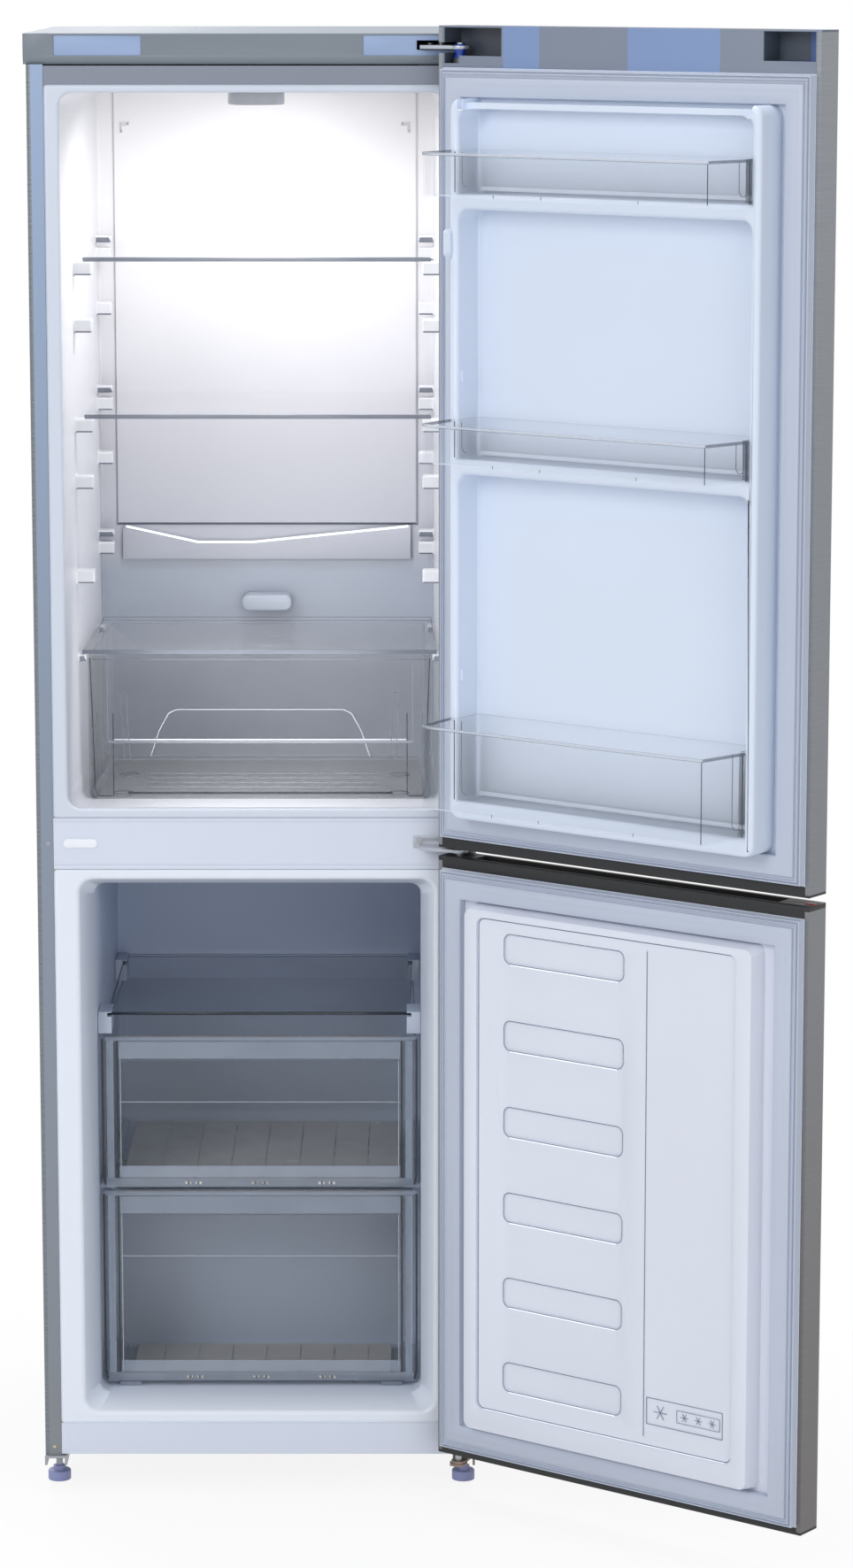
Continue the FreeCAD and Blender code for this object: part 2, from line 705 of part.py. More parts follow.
def fridge_lugs():
    lugs = []
    for level in (shelf_level_upper, shelf_level_second, shelf_level_lower, shelf_level_fourth, shelf_level_fifth):
        seat = level - shelf_thickness / 2 - seat_gap
        lugs.append(wall_lug(lug_front, lug_front + lug_length, seat, lug_height, lug_reach))
        lugs.append(wall_lug(lug_back, lug_back + lug_length, seat, lug_height, lug_rear_reach))
    for level in (shelf_level_upper, shelf_level_lower, shelf_level_fifth):
        stop = level + shelf_thickness / 2 + seat_gap
        lugs.append(wall_lug(lug_back, lug_back + lug_length, stop + stop_height, stop_height, lug_rear_reach))
    seat = crisper_level - shelf_thickness / 2 - seat_gap
    lugs.append(wall_lug(crisper_glass_front, crisper_glass_front + lug_length, seat, crisper_lug_height,
                         crisper_lug_reach))
    lugs.append(wall_lug(lug_back - lug_length, lug_back, seat, crisper_lug_height, crisper_rear_lug_reach))
    right = fuse(lugs)
    return right.fuse(mirror(right)).common(fridge_space(liner_wall / 2))


def corner_marks():
    marks = []
    y1 = fridge_back - back_panel_rise
    for side in (-1, 1):
        x = side * (back_panel_half - corner_mark)
        long_x = sorted((x, x - side * corner_mark))
        short_x = sorted((x, x - side * corner_mark_width))
        marks.append(box(long_x[0], long_x[1], y1 - sheet, y1 + sheet, corner_mark_z, corner_mark_z +
                         corner_mark_width))
        marks.append(box(short_x[0], short_x[1], y1 - sheet, y1 + sheet, corner_mark_z - corner_mark,
                         corner_mark_z + corner_mark_width))
    return marks


def make_liners():
    frame = box(-frame_half, frame_half, 0, frame_depth, mullion_top + frame_inset, rail_bottom - frame_inset)
    shell = fridge_space(liner_wall).fuse(frame).cut(fridge_space(0)).cut(cut_front())
    drain = rod_y(hose_radius + liner_wall, drain_x, fridge_back - liner_wall, fridge_back + liner_wall + overrun,
                  drain_z)
    save("fridge_liner", shell.fuse([fridge_lugs()] + corner_marks()).cut(drain).removeSplitter())
    frame = box(-frame_half, frame_half, 0, frame_depth, plinth_top + frame_inset, mullion_bottom - frame_inset)
    shell = freezer_space(liner_wall).fuse(frame).cut(freezer_space(0)).cut(cut_front())
    runner = runner_rail()
    save("freezer_liner", shell.fuse([runner, mirror(runner)]).removeSplitter())


def cut_front():
    """Everything in front of the cabinet's face."""
    return box(-cabinet_width, cabinet_width, -cabinet_depth, 0, 0, cover_top)


# Cooling circuit, drain and wiring
hose_radius = 6.0
hose_bore = 4.5
hose_inset = 20.0
hose_y = cabinet_depth - hose_inset
pipe_radius = 3.0
pipe_bend = 12.0
evaporator_side_inset = 18.5
evaporator_half = back_panel_half - evaporator_side_inset
evaporator_thickness = 2.0
fridge_evaporator_sill = 14.0
fridge_evaporator_bottom = back_panel_bottom + fridge_evaporator_sill
fridge_evaporator_header = 55.0
fridge_evaporator_top = back_panel_top - fridge_evaporator_header
freezer_evaporator_sill = 30.0
freezer_evaporator_bottom = freezer_step + freezer_evaporator_sill
freezer_evaporator_header = 18.0
freezer_evaporator_top = freezer_ceiling - freezer_evaporator_header
compressor_x = 110.0
compressor_inset = 95.0
compressor_y = cabinet_depth - compressor_inset
compressor_radius = 60.0
compressor_rise = 22.0
compressor_bottom = tray_bottom + compressor_rise
compressor_height = 136.0
compressor_top = compressor_bottom + compressor_height
compressor_round = 28.0
compressor_seam_lift = 70.0
compressor_seam_z = compressor_bottom + compressor_seam_lift
compressor_seam_rise = 3.0
compressor_plate_half = 84.0
compressor_plate_depth_half = 45.0
compressor_plate_thickness = 3.0
mount_radius = 10.0
mount_waist = 7.0
mount_inset = 12.0
relay_length = 26.0
relay_half = 24.0
relay_height = 46.0
suction_lift = 108.0
suction_z = compressor_bottom + suction_lift
discharge_lift = 42.0
discharge_z = compressor_bottom + discharge_lift
suction_x = -20.0
discharge_x = 10.0
condenser_standoff = 14.0
condenser_y = cabinet_depth + condenser_standoff
condenser_side = 47.5
condenser_half = half_width - condenser_side
condenser_rise = 60.0
condenser_bottom = niche_top + condenser_rise
condenser_pitch = 60.0
condenser_runs = 19
condenser_radius = 2.5
condenser_bend = 24.0
wire_radius = 0.8
wire_pitch = 24.0
wire_count = 19
clip_inset = 21.0
clip_x = condenser_half - clip_inset
clip_half = 7.0
clip_height = 14.0
drier_x = -100.0
drier_inset = 70.0
drier_y = cabinet_depth - drier_inset
drier_radius = 9.0
drier_rise = 64.0
drier_bottom = tray_bottom + drier_rise
drier_length = 106.0
drier_top = drier_bottom + drier_length
drier_neck = 10.0
pan_left = -80.0
pan_right = 160.0
pan_front_inset = 135.0
pan_front = cabinet_depth - pan_front_inset
pan_back_inset = 8.0
pan_back = cabinet_depth - pan_back_inset
pan_height = 26.0
pan_wall = 2.0
pan_corner = 10.0
gland_x = 150.0
gland_rise = 20.0
gland_z = niche_top + gland_rise
gland_flange_radius = 12.0
gland_flange = 3.0
gland_body_radius = 8.0
gland_body = 9.0
gland_bore = 3.6
gland_shank = 6.0
gland_shank_length = 12.0
board_left = -130.0
board_right = -20.0
board_front = 60.0
board_back = 140.0
board_thickness = 1.6
board_post = 6.0
board_post_radius = 3.0
board_part_heights = [14.0, 8.0, 11.0]
board_part_size = 18.0


def suction_points():
    return [V(compressor_x - compressor_radius - seat_gap, compressor_y, suction_z),
            V(suction_x, compressor_y, suction_z), V(suction_x, hose_y, suction_z),
            V(suction_x, hose_y, fridge_evaporator_bottom + pipe_bend * 4),
            V(suction_x, evaporator_y() + evaporator_thickness + seat_gap,
              fridge_evaporator_bottom + pipe_bend * 4)]


def evaporator_y():
    return fridge_back - back_panel_rise + liner_wall


def drain_points():
    top = V(drain_x, fridge_back + seat_gap, drain_z)
    return [top, V(drain_x, hose_y, drain_z), V(drain_x, hose_y, pan_base() + pan_height - pan_wall)]


def pan_base():
    return compressor_top


def serpentine_points():
    """Runs of the condenser tube, from the lowest one up."""
    points = [V(-condenser_half, condenser_y, condenser_bottom)]
    side = 1
    for i in range(condenser_runs):
        z = condenser_bottom + condenser_pitch * i
        if i > 0:
            points.append(V(-side * condenser_half, condenser_y, z))
        points.append(V(side * condenser_half, condenser_y, z))
        side = -side
    return points


def condenser_top():
    return condenser_bottom + condenser_pitch * (condenser_runs - 1)


def make_cooling():
    pieces = [tube(serpentine_points(), condenser_radius, condenser_bend)]
    top = condenser_top()
    for layer in (-1, 1):
        y = condenser_y + layer * (condenser_radius + wire_radius + running_gap)
        for i in range(wire_count):
            x = wire_pitch * (i - (wire_count - 1) / 2)
            pieces.append(rod(wire_radius, x, y, condenser_bottom - condenser_bend / 2, top + condenser_bend / 2))
    for z in (condenser_bottom, top):
        for x in (-clip_x, clip_x):
            clip = box(x - clip_half, x + clip_half, cabinet_depth - sheet, condenser_y, z - clip_height / 2,
                       z + clip_height / 2)
            pieces.append(clip.cut(rod_x(condenser_radius + running_gap, x - clip_height, x + clip_height,
                                         condenser_y, z)))
    save("condenser", Part.makeCompound(pieces))

    body = rod(compressor_radius, compressor_x, compressor_y, compressor_bottom, compressor_top)
    rims = [edge for edge in body.Edges if len(edge.Vertexes) == 1 or edge.Closed]
    rims = [edge for edge in rims if abs(edge.CenterOfMass.z - (compressor_bottom + compressor_top) / 2) >
            compressor_round]
    body = body.makeFillet(compressor_round, rims)
    seam = rod(compressor_radius + compressor_seam_rise, compressor_x, compressor_y, compressor_seam_z,
               compressor_seam_z + compressor_seam_rise)
    plate = block_z(compressor_x - compressor_plate_half, compressor_x + compressor_plate_half,
                    compressor_y - compressor_plate_depth_half, compressor_y + compressor_plate_depth_half,
                    compressor_bottom - compressor_plate_thickness, compressor_bottom, mount_radius)
    relay = box(compressor_x + compressor_radius - compressor_seam_rise * 2, compressor_x + compressor_radius +
                relay_length, compressor_y - relay_half, compressor_y + relay_half, compressor_bottom + pan_corner,
                compressor_bottom + pan_corner + relay_height)
    bolts = []
    for x in (compressor_x - compressor_plate_half + mount_inset, compressor_x + compressor_plate_half - mount_inset):
        for y in (compressor_y - compressor_plate_depth_half + mount_inset,
                  compressor_y + compressor_plate_depth_half - mount_inset):
            bolts.append((x, y))
    holes = [rod(mount_waist + running_gap, x, y, 0, compressor_bottom + overrun) for x, y in bolts]
    save("compressor", fuse([body, seam, plate, relay]).cut(holes))
    tray_top = tray_bottom + tray_thickness
    mounts = []
    for x, y in bolts:
        low = rod(mount_radius, x, y, tray_top, compressor_bottom - compressor_plate_thickness)
        waist = rod(mount_waist, x, y, tray_top, compressor_bottom + compressor_plate_thickness)
        cap = rod(mount_radius, x, y, compressor_bottom, compressor_bottom + compressor_plate_thickness)
        mounts.append(fuse([low, waist, cap]))
    save("compressor_mounts", Part.makeCompound(mounts))

    pan_top = pan_base() + pan_height
    outer = block_z(pan_left, pan_right, pan_front, pan_back, pan_base(), pan_top, pan_corner)
    inner = block_z(pan_left + pan_wall, pan_right - pan_wall, pan_front + pan_wall, pan_back - pan_wall,
                    pan_base() + pan_wall, pan_top + overrun, pan_corner - pan_wall)
    pipe_notch = box(suction_x - mount_radius, suction_x + mount_radius, hose_y - mount_radius, pan_back + overrun,
                     pan_base() - overrun, pan_top + overrun)
    rim = box(suction_x - mount_radius - pan_wall, suction_x + mount_radius + pan_wall, hose_y - mount_radius -
              pan_wall, pan_back, pan_base(), pan_top)
    save("evaporation_tray", outer.cut(inner).fuse(rim).cut(pipe_notch).removeSplitter())

    hose = tube(drain_points(), hose_radius, hose_radius * 2)
    bore = tube(drain_points(), hose_bore, hose_radius * 2)
    save("drain_hose", hose.cut(bore))

    body = rod(drier_radius, drier_x, drier_y, drier_bottom, drier_top)
    necks = [rod(pipe_radius, drier_x, drier_y, drier_bottom - drier_neck, drier_bottom),
             rod(pipe_radius, drier_x, drier_y, drier_top, drier_top + drier_neck)]
    save("filter_drier", fuse([body] + necks))

    suction = tube(suction_points(), pipe_radius, pipe_bend)
    riser_x = condenser_half + pipe_bend * 2
    discharge = tube([V(compressor_x - compressor_radius - seat_gap, compressor_y, discharge_z),
                      V(discharge_x, compressor_y, discharge_z), V(discharge_x, condenser_y, discharge_z),
                      V(riser_x, condenser_y, discharge_z), V(riser_x, condenser_y, condenser_top()),
                      V(condenser_half + seat_gap, condenser_y, condenser_top())],
                     condenser_radius, pipe_bend)
    low = tray_bottom + pipe_bend * 2
    liquid = tube([V(drier_x, drier_y, drier_bottom - drier_neck - seat_gap), V(drier_x, drier_y, low),
                   V(drier_x, condenser_y, low), V(-riser_x, condenser_y, low),
                   V(-riser_x, condenser_y, condenser_bottom),
                   V(-condenser_half - seat_gap, condenser_y, condenser_bottom)],
                  condenser_radius, pipe_bend)
    save("refrigerant_pipes", Part.makeCompound([suction, discharge, liquid]))

    fridge_plate = box(-evaporator_half, evaporator_half, evaporator_y(), evaporator_y() + evaporator_thickness,
                       fridge_evaporator_bottom, fridge_evaporator_top)
    freezer_y = freezer_back + liner_wall
    freezer_plate = box(-evaporator_half, evaporator_half, freezer_y, freezer_y + evaporator_thickness,
                        freezer_evaporator_bottom, freezer_evaporator_top)
    save("evaporator_plates", Part.makeCompound([fridge_plate, freezer_plate]))
    return [fridge_plate, freezer_plate]


def gland_shank_rod(radius):
    return rod_y(radius, gland_x, cabinet_depth - gland_shank_length, cabinet_depth - sheet, gland_z)


def make_wiring():
    y = cabinet_depth - sheet
    flange = rod_y(gland_flange_radius, gland_x, y, y + gland_flange, gland_z)
    body = rod_y(gland_body_radius, gland_x, y + gland_flange, y + gland_body, gland_z)
    bore = rod_y(gland_bore, gland_x, y - cabinet_depth / 2, y + gland_body + overrun, gland_z)
    save("power_inlet", fuse([flange, body, gland_shank_rod(gland_shank)]).cut(bore))
    base = panel_top + board_post
    parts = [box(board_left, board_right, board_front, board_back, base, base + board_thickness)]
    for x in (board_left + board_post, board_right - board_post):
        for y in (board_front + board_post, board_back - board_post):
            parts.append(rod(board_post_radius, x, y, panel_top, base))
    step = (board_right - board_left) / (len(board_part_heights) + 1)
    middle = (board_front + board_back) / 2
    for i, height in enumerate(board_part_heights):
        x = board_left + step * (i + 1)
        parts.append(box(x - board_part_size / 2, x + board_part_size / 2, middle - board_part_size,
                         middle + board_part_size, base + board_thickness, base + board_thickness + height))
    save("control_board", fuse(parts))


# Base, rollers and foam
roller_radius = 15.0
roller_half = 8.0
roller_inset = 37.5
roller_x = half_width - roller_inset
roller_back_inset = 40.0
roller_y = cabinet_depth - roller_back_inset
roller_axle = 3.0
ear_gap = 2.0
ear_thickness = 3.0
ear_half_length = 16.0
ear_bottom = 8.0
foam_pin_clearance = 10.0
pipe_channel = 10.0


def make_base():
    inner = half_width - sheet
    floor_sheet = box(-inner, inner, front_corner_radius, niche_front + step_plate, cabinet_bottom, plinth_bottom)
    riser = box(-inner, inner, niche_front, niche_front + step_plate, cabinet_bottom, niche_top)
    roof = box(-inner, inner, niche_front, cabinet_depth - sheet * 2, niche_top - step_plate, niche_top)
    tray = box(-inner, inner, niche_front, cabinet_depth - sheet, tray_bottom, tray_bottom + tray_thickness)
    roller_parts = []
    for side in (-1, 1):
        for edge in (-1, 1):
            near = side * roller_x + edge * (roller_half + ear_gap)
            far = near + edge * ear_thickness
            roller_parts.append(box(min(near, far), max(near, far), roller_y - ear_half_length,
                                 roller_y + ear_half_length, ear_bottom, tray_bottom))
        reach = roller_half + ear_gap + ear_thickness
        roller_parts.append(rod_x(roller_axle, side * roller_x - reach, side * roller_x + reach, roller_y,
                               roller_radius))
    holes = [rod(foot_stem_radius + sheet, x, foot_y, cabinet_bottom - overrun, plinth_bottom + overrun)
             for x in (-foot_x, foot_x)]
    holes.append(rod(pipe_radius + sheet, suction_x, hose_y, niche_top - pipe_channel, niche_top + overrun))
    holes.append(rod(hose_radius + sheet, drain_x, hose_y, niche_top - pipe_channel, niche_top + overrun))
    left_channel = mirror(foot_channel())
    save("base_frame", fuse([floor_sheet, riser, roof, tray, left_channel] + roller_parts).cut(holes))
    for side, name in ((-1, "rear_roller_left"), (1, "rear_roller_right")):
        x = side * roller_x
        wheel = rod_x(roller_radius, x - roller_half, x + roller_half, roller_y, roller_radius)
        bore = rod_x(roller_axle + running_gap, x - roller_half - overrun, x + roller_half + overrun, roller_y,
                     roller_radius)
        save(name, wheel.cut(bore))


def make_foam(plates):
    inner = half_width - sheet
    block = box(-inner, inner, sheet, cabinet_depth - sheet * 2, plinth_bottom, panel_top - sheet)
    for side in (-1, 1):
        block = round_corner(block, side * inner, sheet, front_corner_radius - sheet)
    tools = [box(-frame_half - frame_inset, frame_half + frame_inset, 0, frame_depth, cabinet_bottom, cabinet_top),
             box(-inner, inner, niche_front, cabinet_depth, cabinet_bottom, niche_top),
             box(-inner, inner, 0, frame_depth + back_flange, cabinet_bottom, plinth_bottom + sheet),
             fridge_space(liner_wall), freezer_space(liner_wall)]
    tools += plates
    for x in (-foot_x, foot_x):
        tools.append(rod(foot_stem_radius + sheet, x, foot_y, cabinet_bottom, foot_stem_top + sheet))
    for x in (mid_screw_x, mid_screw_x + mid_screw_pitch):
        tools.append(rod_y(screw_hole, x, 0, machine_screw_length + overrun, mid_screw_z))
    channel = pipe_channel
    top = suction_points()[-1]
    tools.append(box(top.x - channel, top.x + channel, evaporator_y(), hose_y + channel, top.z - channel,
                     top.z + channel))
    tools.append(box(top.x - channel, top.x + channel, hose_y - channel, hose_y + channel, niche_top - overrun,
                     top.z + channel))
    drain = drain_points()[0]
    tools.append(box(drain.x - channel, drain.x + channel, fridge_back, hose_y + channel, drain.z - channel,
                     drain.z + channel))
    tools.append(box(drain.x - channel, drain.x + channel, hose_y - channel, hose_y + channel, niche_top - overrun,
                     drain.z + channel))
    tools.append(gland_shank_rod(gland_shank))
    save("cabinet_insulation", block.cut(tools))


def make_fridge_fittings():
    lamp = block_z(-lamp_half, lamp_half, lamp_y - lamp_depth_half, lamp_y + lamp_depth_half, lamp_bottom,
                   fridge_ceiling, lamp_depth_half - sheet)
    save("interior_lamp", lamp.common(fridge_space(0)))
    outline = [(-gutter_left_half, gutter_bottom), (-gutter_left_half, gutter_bottom + gutter_left_rise),
               (-gutter_valley_left, gutter_bottom + gutter_valley_rise),
               (-gutter_valley_right, gutter_bottom + gutter_valley_rise),
               (gutter_right_half, gutter_bottom + gutter_right_rise), (gutter_right_half, gutter_bottom)]
    gutter = prism_y(outline, fridge_back - gutter_depth, fridge_back)
    half = fridge_back_half - lug_length
    trough = box(-half, half, fridge_back - gutter_depth + pan_wall, fridge_back - pan_wall,
                 drain_z - gutter_groove, drain_z + gutter_depth * 5)
    hole = rod_y(hose_bore, drain_x, fridge_back - gutter_depth + pan_wall, fridge_back + overrun, drain_z)
    save("drip_gutter", gutter.cut([trough, hole]).Solids[0])
    knob = block_y(-sensor_half, sensor_half, sensor_front, fridge_back, sensor_bottom, sensor_top,
                   (sensor_top - sensor_bottom) / 2 - sheet)
    save("sensor_cover", knob)


# Shelves and drawers
glass_round = 1.5
freezer_glass_side_gap = 12.5
freezer_glass_half = freezer_half - freezer_glass_side_gap
freezer_glass_front = 70.0
freezer_glass_back_gap = 18.0
freezer_glass_back = freezer_back - freezer_glass_back_gap
freezer_glass_rise = 270.7
freezer_glass_bottom = freezer_step + freezer_glass_rise
freezer_glass_thickness = 4.0
holder_width = 18.0
holder_inner = freezer_half - holder_width
holder_side_gap = 0.6
holder_outer = freezer_half - holder_side_gap
holder_back_side_gap = 0.2
holder_back_outer = freezer_back_half - holder_back_side_gap
holder_front = 62.0
holder_length = 48.0
holder_drop = 22.1
holder_bottom = freezer_glass_bottom - holder_drop
holder_rise = 5.9
holder_top = freezer_glass_bottom + holder_rise
holder_back_inset = 66.0
holder_back = freezer_back - holder_back_inset
runner_front = 82.0
runner_back_gap = 20.0
runner_back = freezer_back - runner_back_gap
runner_rise = 48.7
runner_top = freezer_step + runner_rise
runner_height = 6.0
runner_width = 17.0
runner_reach = freezer_half - runner_width
crisper_front = 160.0
crisper_back = crisper_glass_back
crisper_bottom = fridge_floor + seat_gap
crisper_lid_gap = 6.2
crisper_top = crisper_level - crisper_lid_gap
crisper_side_gap = 13.0
crisper_front_half = fridge_floor_half - crisper_side_gap
crisper_back_side_gap = 11.0
crisper_back_half = fridge_floor_back_half - crisper_back_side_gap
crisper_window_sill = 74.7
crisper_window_bottom = crisper_bottom + crisper_window_sill
crisper_pillar = 24.0
crisper_window_half = crisper_front_half - crisper_pillar
drawer_wall = 2.2
crisper_corner = 9.0
rib_count = 4
rib_half_length = 150.0
rib_width = 5.0
rib_height = 1.2
rib_pitch = 34.0
drawer_rib_count = 7
drawer_rib_pitch = 44.0
drawer_rib_inset = 24.0
disc_radius = 13.0
disc_height = 1.0
disc_inset = 17.0
disc_x = crisper_window_half - disc_inset
drawer_front = 60.0
drawer_front_gap = 4.2
drawer_front_half = freezer_half - drawer_front_gap
drawer_rail = 12.7
drawer_corner = 5.0
upper_drawer_bottom = runner_top + seat_gap
upper_drawer_headroom = 2.8
upper_drawer_top = holder_bottom - upper_drawer_headroom
upper_drawer_back_gap = 35.0
upper_drawer_back = freezer_back - upper_drawer_back_gap
upper_drawer_side_gap = 5.5
upper_drawer_half = freezer_half - upper_drawer_side_gap
lower_drawer_rise = 5.7
lower_drawer_bottom = freezer_floor + lower_drawer_rise
drawer_front_split = 4.3
lower_drawer_top = upper_drawer_bottom - drawer_front_split
lower_drawer_back_gap = 8.0
lower_drawer_back = freezer_low_back - lower_drawer_back_gap
lower_drawer_side_gap = 11.0
lower_drawer_half = freezer_half - lower_drawer_side_gap
lower_side_drop = 4.7
lower_side_top = lower_drawer_top - lower_side_drop
drawer_front_thickness = 4.0
slot_group_pitch = 84.5
slot_half = 10.5
slot_height = 4.0
slot_divider = 6.0
drawer_foot_inset = 13.0
drawer_foot_width = 27.0
drawer_foot_outer = lower_drawer_half - drawer_foot_inset
drawer_foot_inner = drawer_foot_outer - drawer_foot_width
rim_height = 6.0
rim_rise = 2.0


def runner_rail():
    """A ledge on the right wall of the freezer that carries the upper drawer."""
    rail = box(runner_reach, freezer_half + liner_wall, runner_front, runner_back, runner_top - runner_height,
               runner_top)
    return rail.common(freezer_space(liner_wall / 2))


def glass(half_front, half_back, y0, y1, z0, z1):
    plate = prism([(-half_front, y0), (half_front, y0), (half_back, y1), (-half_back, y1)], z0, z1)
    front = [edge for edge in plate.Edges if abs(edge.CenterOfMass.y - y0) < running_gap
             and abs(edge.CenterOfMass.x) < running_gap]
    return plate.makeFillet(glass_round, front)


def make_shelves():
    for name, level in (("glass_shelf_upper", shelf_level_upper), ("glass_shelf_lower", shelf_level_lower)):
        save(name, glass(shelf_half, shelf_half, shelf_front, shelf_back, level - shelf_thickness / 2,
                         level + shelf_thickness / 2))
    save("crisper_glass", glass(crisper_glass_front_half, crisper_glass_back_half, crisper_glass_front,
                                crisper_glass_back, crisper_level - shelf_thickness / 2,
                                crisper_level + shelf_thickness / 2))
    save("freezer_glass_shelf", glass(freezer_glass_half, freezer_glass_half, freezer_glass_front,
                                      freezer_glass_back, freezer_glass_bottom,
                                      freezer_glass_bottom + freezer_glass_thickness))
    holders = []
    slot = box(-freezer_glass_half - seat_gap, freezer_glass_half + seat_gap, freezer_glass_front - seat_gap,
               freezer_glass_back + seat_gap, freezer_glass_bottom - seat_gap,
               freezer_glass_bottom + freezer_glass_thickness + seat_gap)
    way_out = box(-freezer_glass_half - seat_gap, freezer_glass_half + seat_gap, 0, freezer_glass_back,
                  freezer_glass_bottom - seat_gap, freezer_glass_bottom + freezer_glass_thickness + seat_gap)
    for y, outer in ((holder_front, holder_outer), (holder_back, holder_back_outer)):
        right = box(holder_inner, outer, y, y + holder_length, holder_bottom, holder_top)
        holders += [right, mirror(right)]
    save("freezer_shelf_holders", Part.makeCompound([holder.cut([slot, way_out]) for holder in holders]))


def tub(half_front, half_back, y0, y1, z0, z1, corner):
    """An open-topped box with rounded lower edges, narrower at the back."""
    rise = corner * 2
    outer = loft(ring(half_front, z0, z1 + rise, corner, y0), ring(half_back, z0, z1 + rise, corner, y1))
    inner = loft(ring(half_front - drawer_wall, z0 + drawer_wall, z1 + rise * 2, corner - drawer_wall,
                      y0 + drawer_wall),
                 ring(half_back - drawer_wall, z0 + drawer_wall, z1 + rise * 2, corner - drawer_wall,
                      y1 - drawer_wall))
    lid = box(-half_front - overrun, half_front + overrun, y0 - overrun, y1 + overrun, z1, z1 + rise * 3)
    return outer.cut([inner, lid])


def make_crisper():
    body = tub(crisper_front_half, crisper_back_half, crisper_front, crisper_back, crisper_bottom, crisper_top,
               crisper_corner)
    window = box(-crisper_window_half, crisper_window_half, crisper_front - overrun,
                 crisper_front + drawer_wall + sheet, crisper_window_bottom, crisper_top + overrun)
    floor = crisper_bottom + drawer_wall
    ribs = []
    for i in range(rib_count):
        y = crisper_front + rib_pitch * (i + 2)
        ribs.append(box(-rib_half_length, rib_half_length, y, y + rib_width, floor, floor + rib_height))
    discs = []
    for x in (-disc_x, disc_x):
        for y in (crisper_front + disc_radius * 2, crisper_front + disc_radius * 2 + rib_pitch * rib_count):
            discs.append(rod(disc_radius, x, y, floor, floor + disc_height))
    rim = box(-crisper_window_half, crisper_window_half, crisper_front - rim_rise / 2, crisper_front + drawer_wall,
              crisper_window_bottom - rim_height / 2, crisper_window_bottom)
    save("crisper_drawer", body.cut(window).fuse(ribs + discs + [rim]).removeSplitter())


def freezer_drawer(half, front_half, back, z0, z1, side_top):
    """A freezer drawer: a tub behind a wider clear front with a rail and slots along its foot."""
    body = tub(half, half - drawer_corner, drawer_front + drawer_wall, back, z0, side_top, crisper_corner)
    front = block_y(-front_half, front_half, drawer_front, drawer_front + drawer_front_thickness, z0, z1,
                    drawer_corner)
    rail = box(-front_half + drawer_corner, front_half - drawer_corner, drawer_front - rim_rise / 2, drawer_front,
               z0 + sheet, z0 + drawer_rail)
    rim = box(-front_half + drawer_corner, front_half - drawer_corner, drawer_front - rim_rise / 2, drawer_front,
              z1 - rim_height, z1 - sheet)
    slots = []
    middle = z0 + drawer_rail / 2
    for group in (-1, 0, 1):
        for side in (-1, 1):
            near = group * slot_group_pitch + side * slot_divider / 2
            far = group * slot_group_pitch + side * slot_half
            slots.append(box(min(near, far), max(near, far), drawer_front - overrun, drawer_front + sheet,
                             middle - slot_height / 2, middle + slot_height / 2))
    ribs = []
    for i in range(drawer_rib_count):
        x = drawer_rib_pitch * (i - (drawer_rib_count - 1) / 2)
        ribs.append(box(x - rib_width / 2, x + rib_width / 2, drawer_front + drawer_rib_inset,
                        back - drawer_rib_inset, z0 + drawer_wall, z0 + drawer_wall + rib_height))
    return fuse([body, front, rail, rim] + ribs).cut(slots)


def make_freezer_drawers():
    save("freezer_drawer_upper", freezer_drawer(upper_drawer_half, drawer_front_half, upper_drawer_back,
                                                upper_drawer_bottom, upper_drawer_top, upper_drawer_top - sheet))
    lower = freezer_drawer(lower_drawer_half, drawer_front_half, lower_drawer_back, lower_drawer_bottom,
                           lower_drawer_top, lower_side_top)
    feet = []
    for side in (-1, 1):
        x = sorted((side * drawer_foot_inner, side * drawer_foot_outer))
        feet.append(box(x[0], x[1], drawer_front, lower_drawer_back - drawer_corner, freezer_floor + seat_gap,
                        lower_drawer_bottom))
    save("freezer_drawer_lower", fuse([lower] + feet))


# Doors: skins, caps, gaskets and liners
skin = 0.8
cap_wall = 2.4
cap_side_gap = 0.3
top_cap_depth = 47.0
top_cap_bottom = fridge_door_top - top_cap_depth
top_cap_rise = 2.5
top_cap_top = fridge_door_top + top_cap_rise
fridge_cap_drop = 3.2
low_cap_fridge_bottom = fridge_door_bottom - fridge_cap_drop
fridge_cap_reach = 10.0
low_cap_fridge_top = fridge_door_bottom + fridge_cap_reach
freezer_cap_depth = 7.9
high_cap_freezer_bottom = freezer_door_top - freezer_cap_depth
freezer_cap_rise = 5.5
high_cap_freezer_top = freezer_door_top + freezer_cap_rise
freezer_cap_drop = 3.5
low_cap_freezer_bottom = freezer_door_bottom - freezer_cap_drop
freezer_cap_reach = 5.5
low_cap_freezer_top = freezer_door_bottom + freezer_cap_reach
pocket_near = 7.6
pocket_length = 84.8
pocket_far = pocket_near + pocket_length
pocket_drop = 7.5
pocket_floor = top_plate_bottom - pocket_drop
pocket_roof_rise = 0.4
pocket_roof = fridge_door_top + pocket_roof_rise
pocket_depth = 35.0
well_far = 30.0
well_drop = 9.0
well_floor = pocket_floor - well_drop
well_depth = 31.0
washer_play = 0.4
washer_boss_top = washer_bottom - washer_play
notch_room = 4.5
notch_bottom = top_plate_bottom - notch_room
notch_headroom = 4.0
notch_top = top_plate_top + notch_headroom
notch_depth = 36.5
notch_far = 24.0
spare_pocket_inset = 7.4
spare_pocket_length = 70.6
spare_pocket_far = door_width - spare_pocket_inset
spare_pocket_near = spare_pocket_far - spare_pocket_length
handle_near = 48.0
handle_far = door_width - handle_near
handle_front = -33.0
handle_back = -8.0
handle_depth = 11.0
boss_depth = 14.0
land_thickness = 1.5
gasket_outer = 7.0
gasket_inner = 41.0
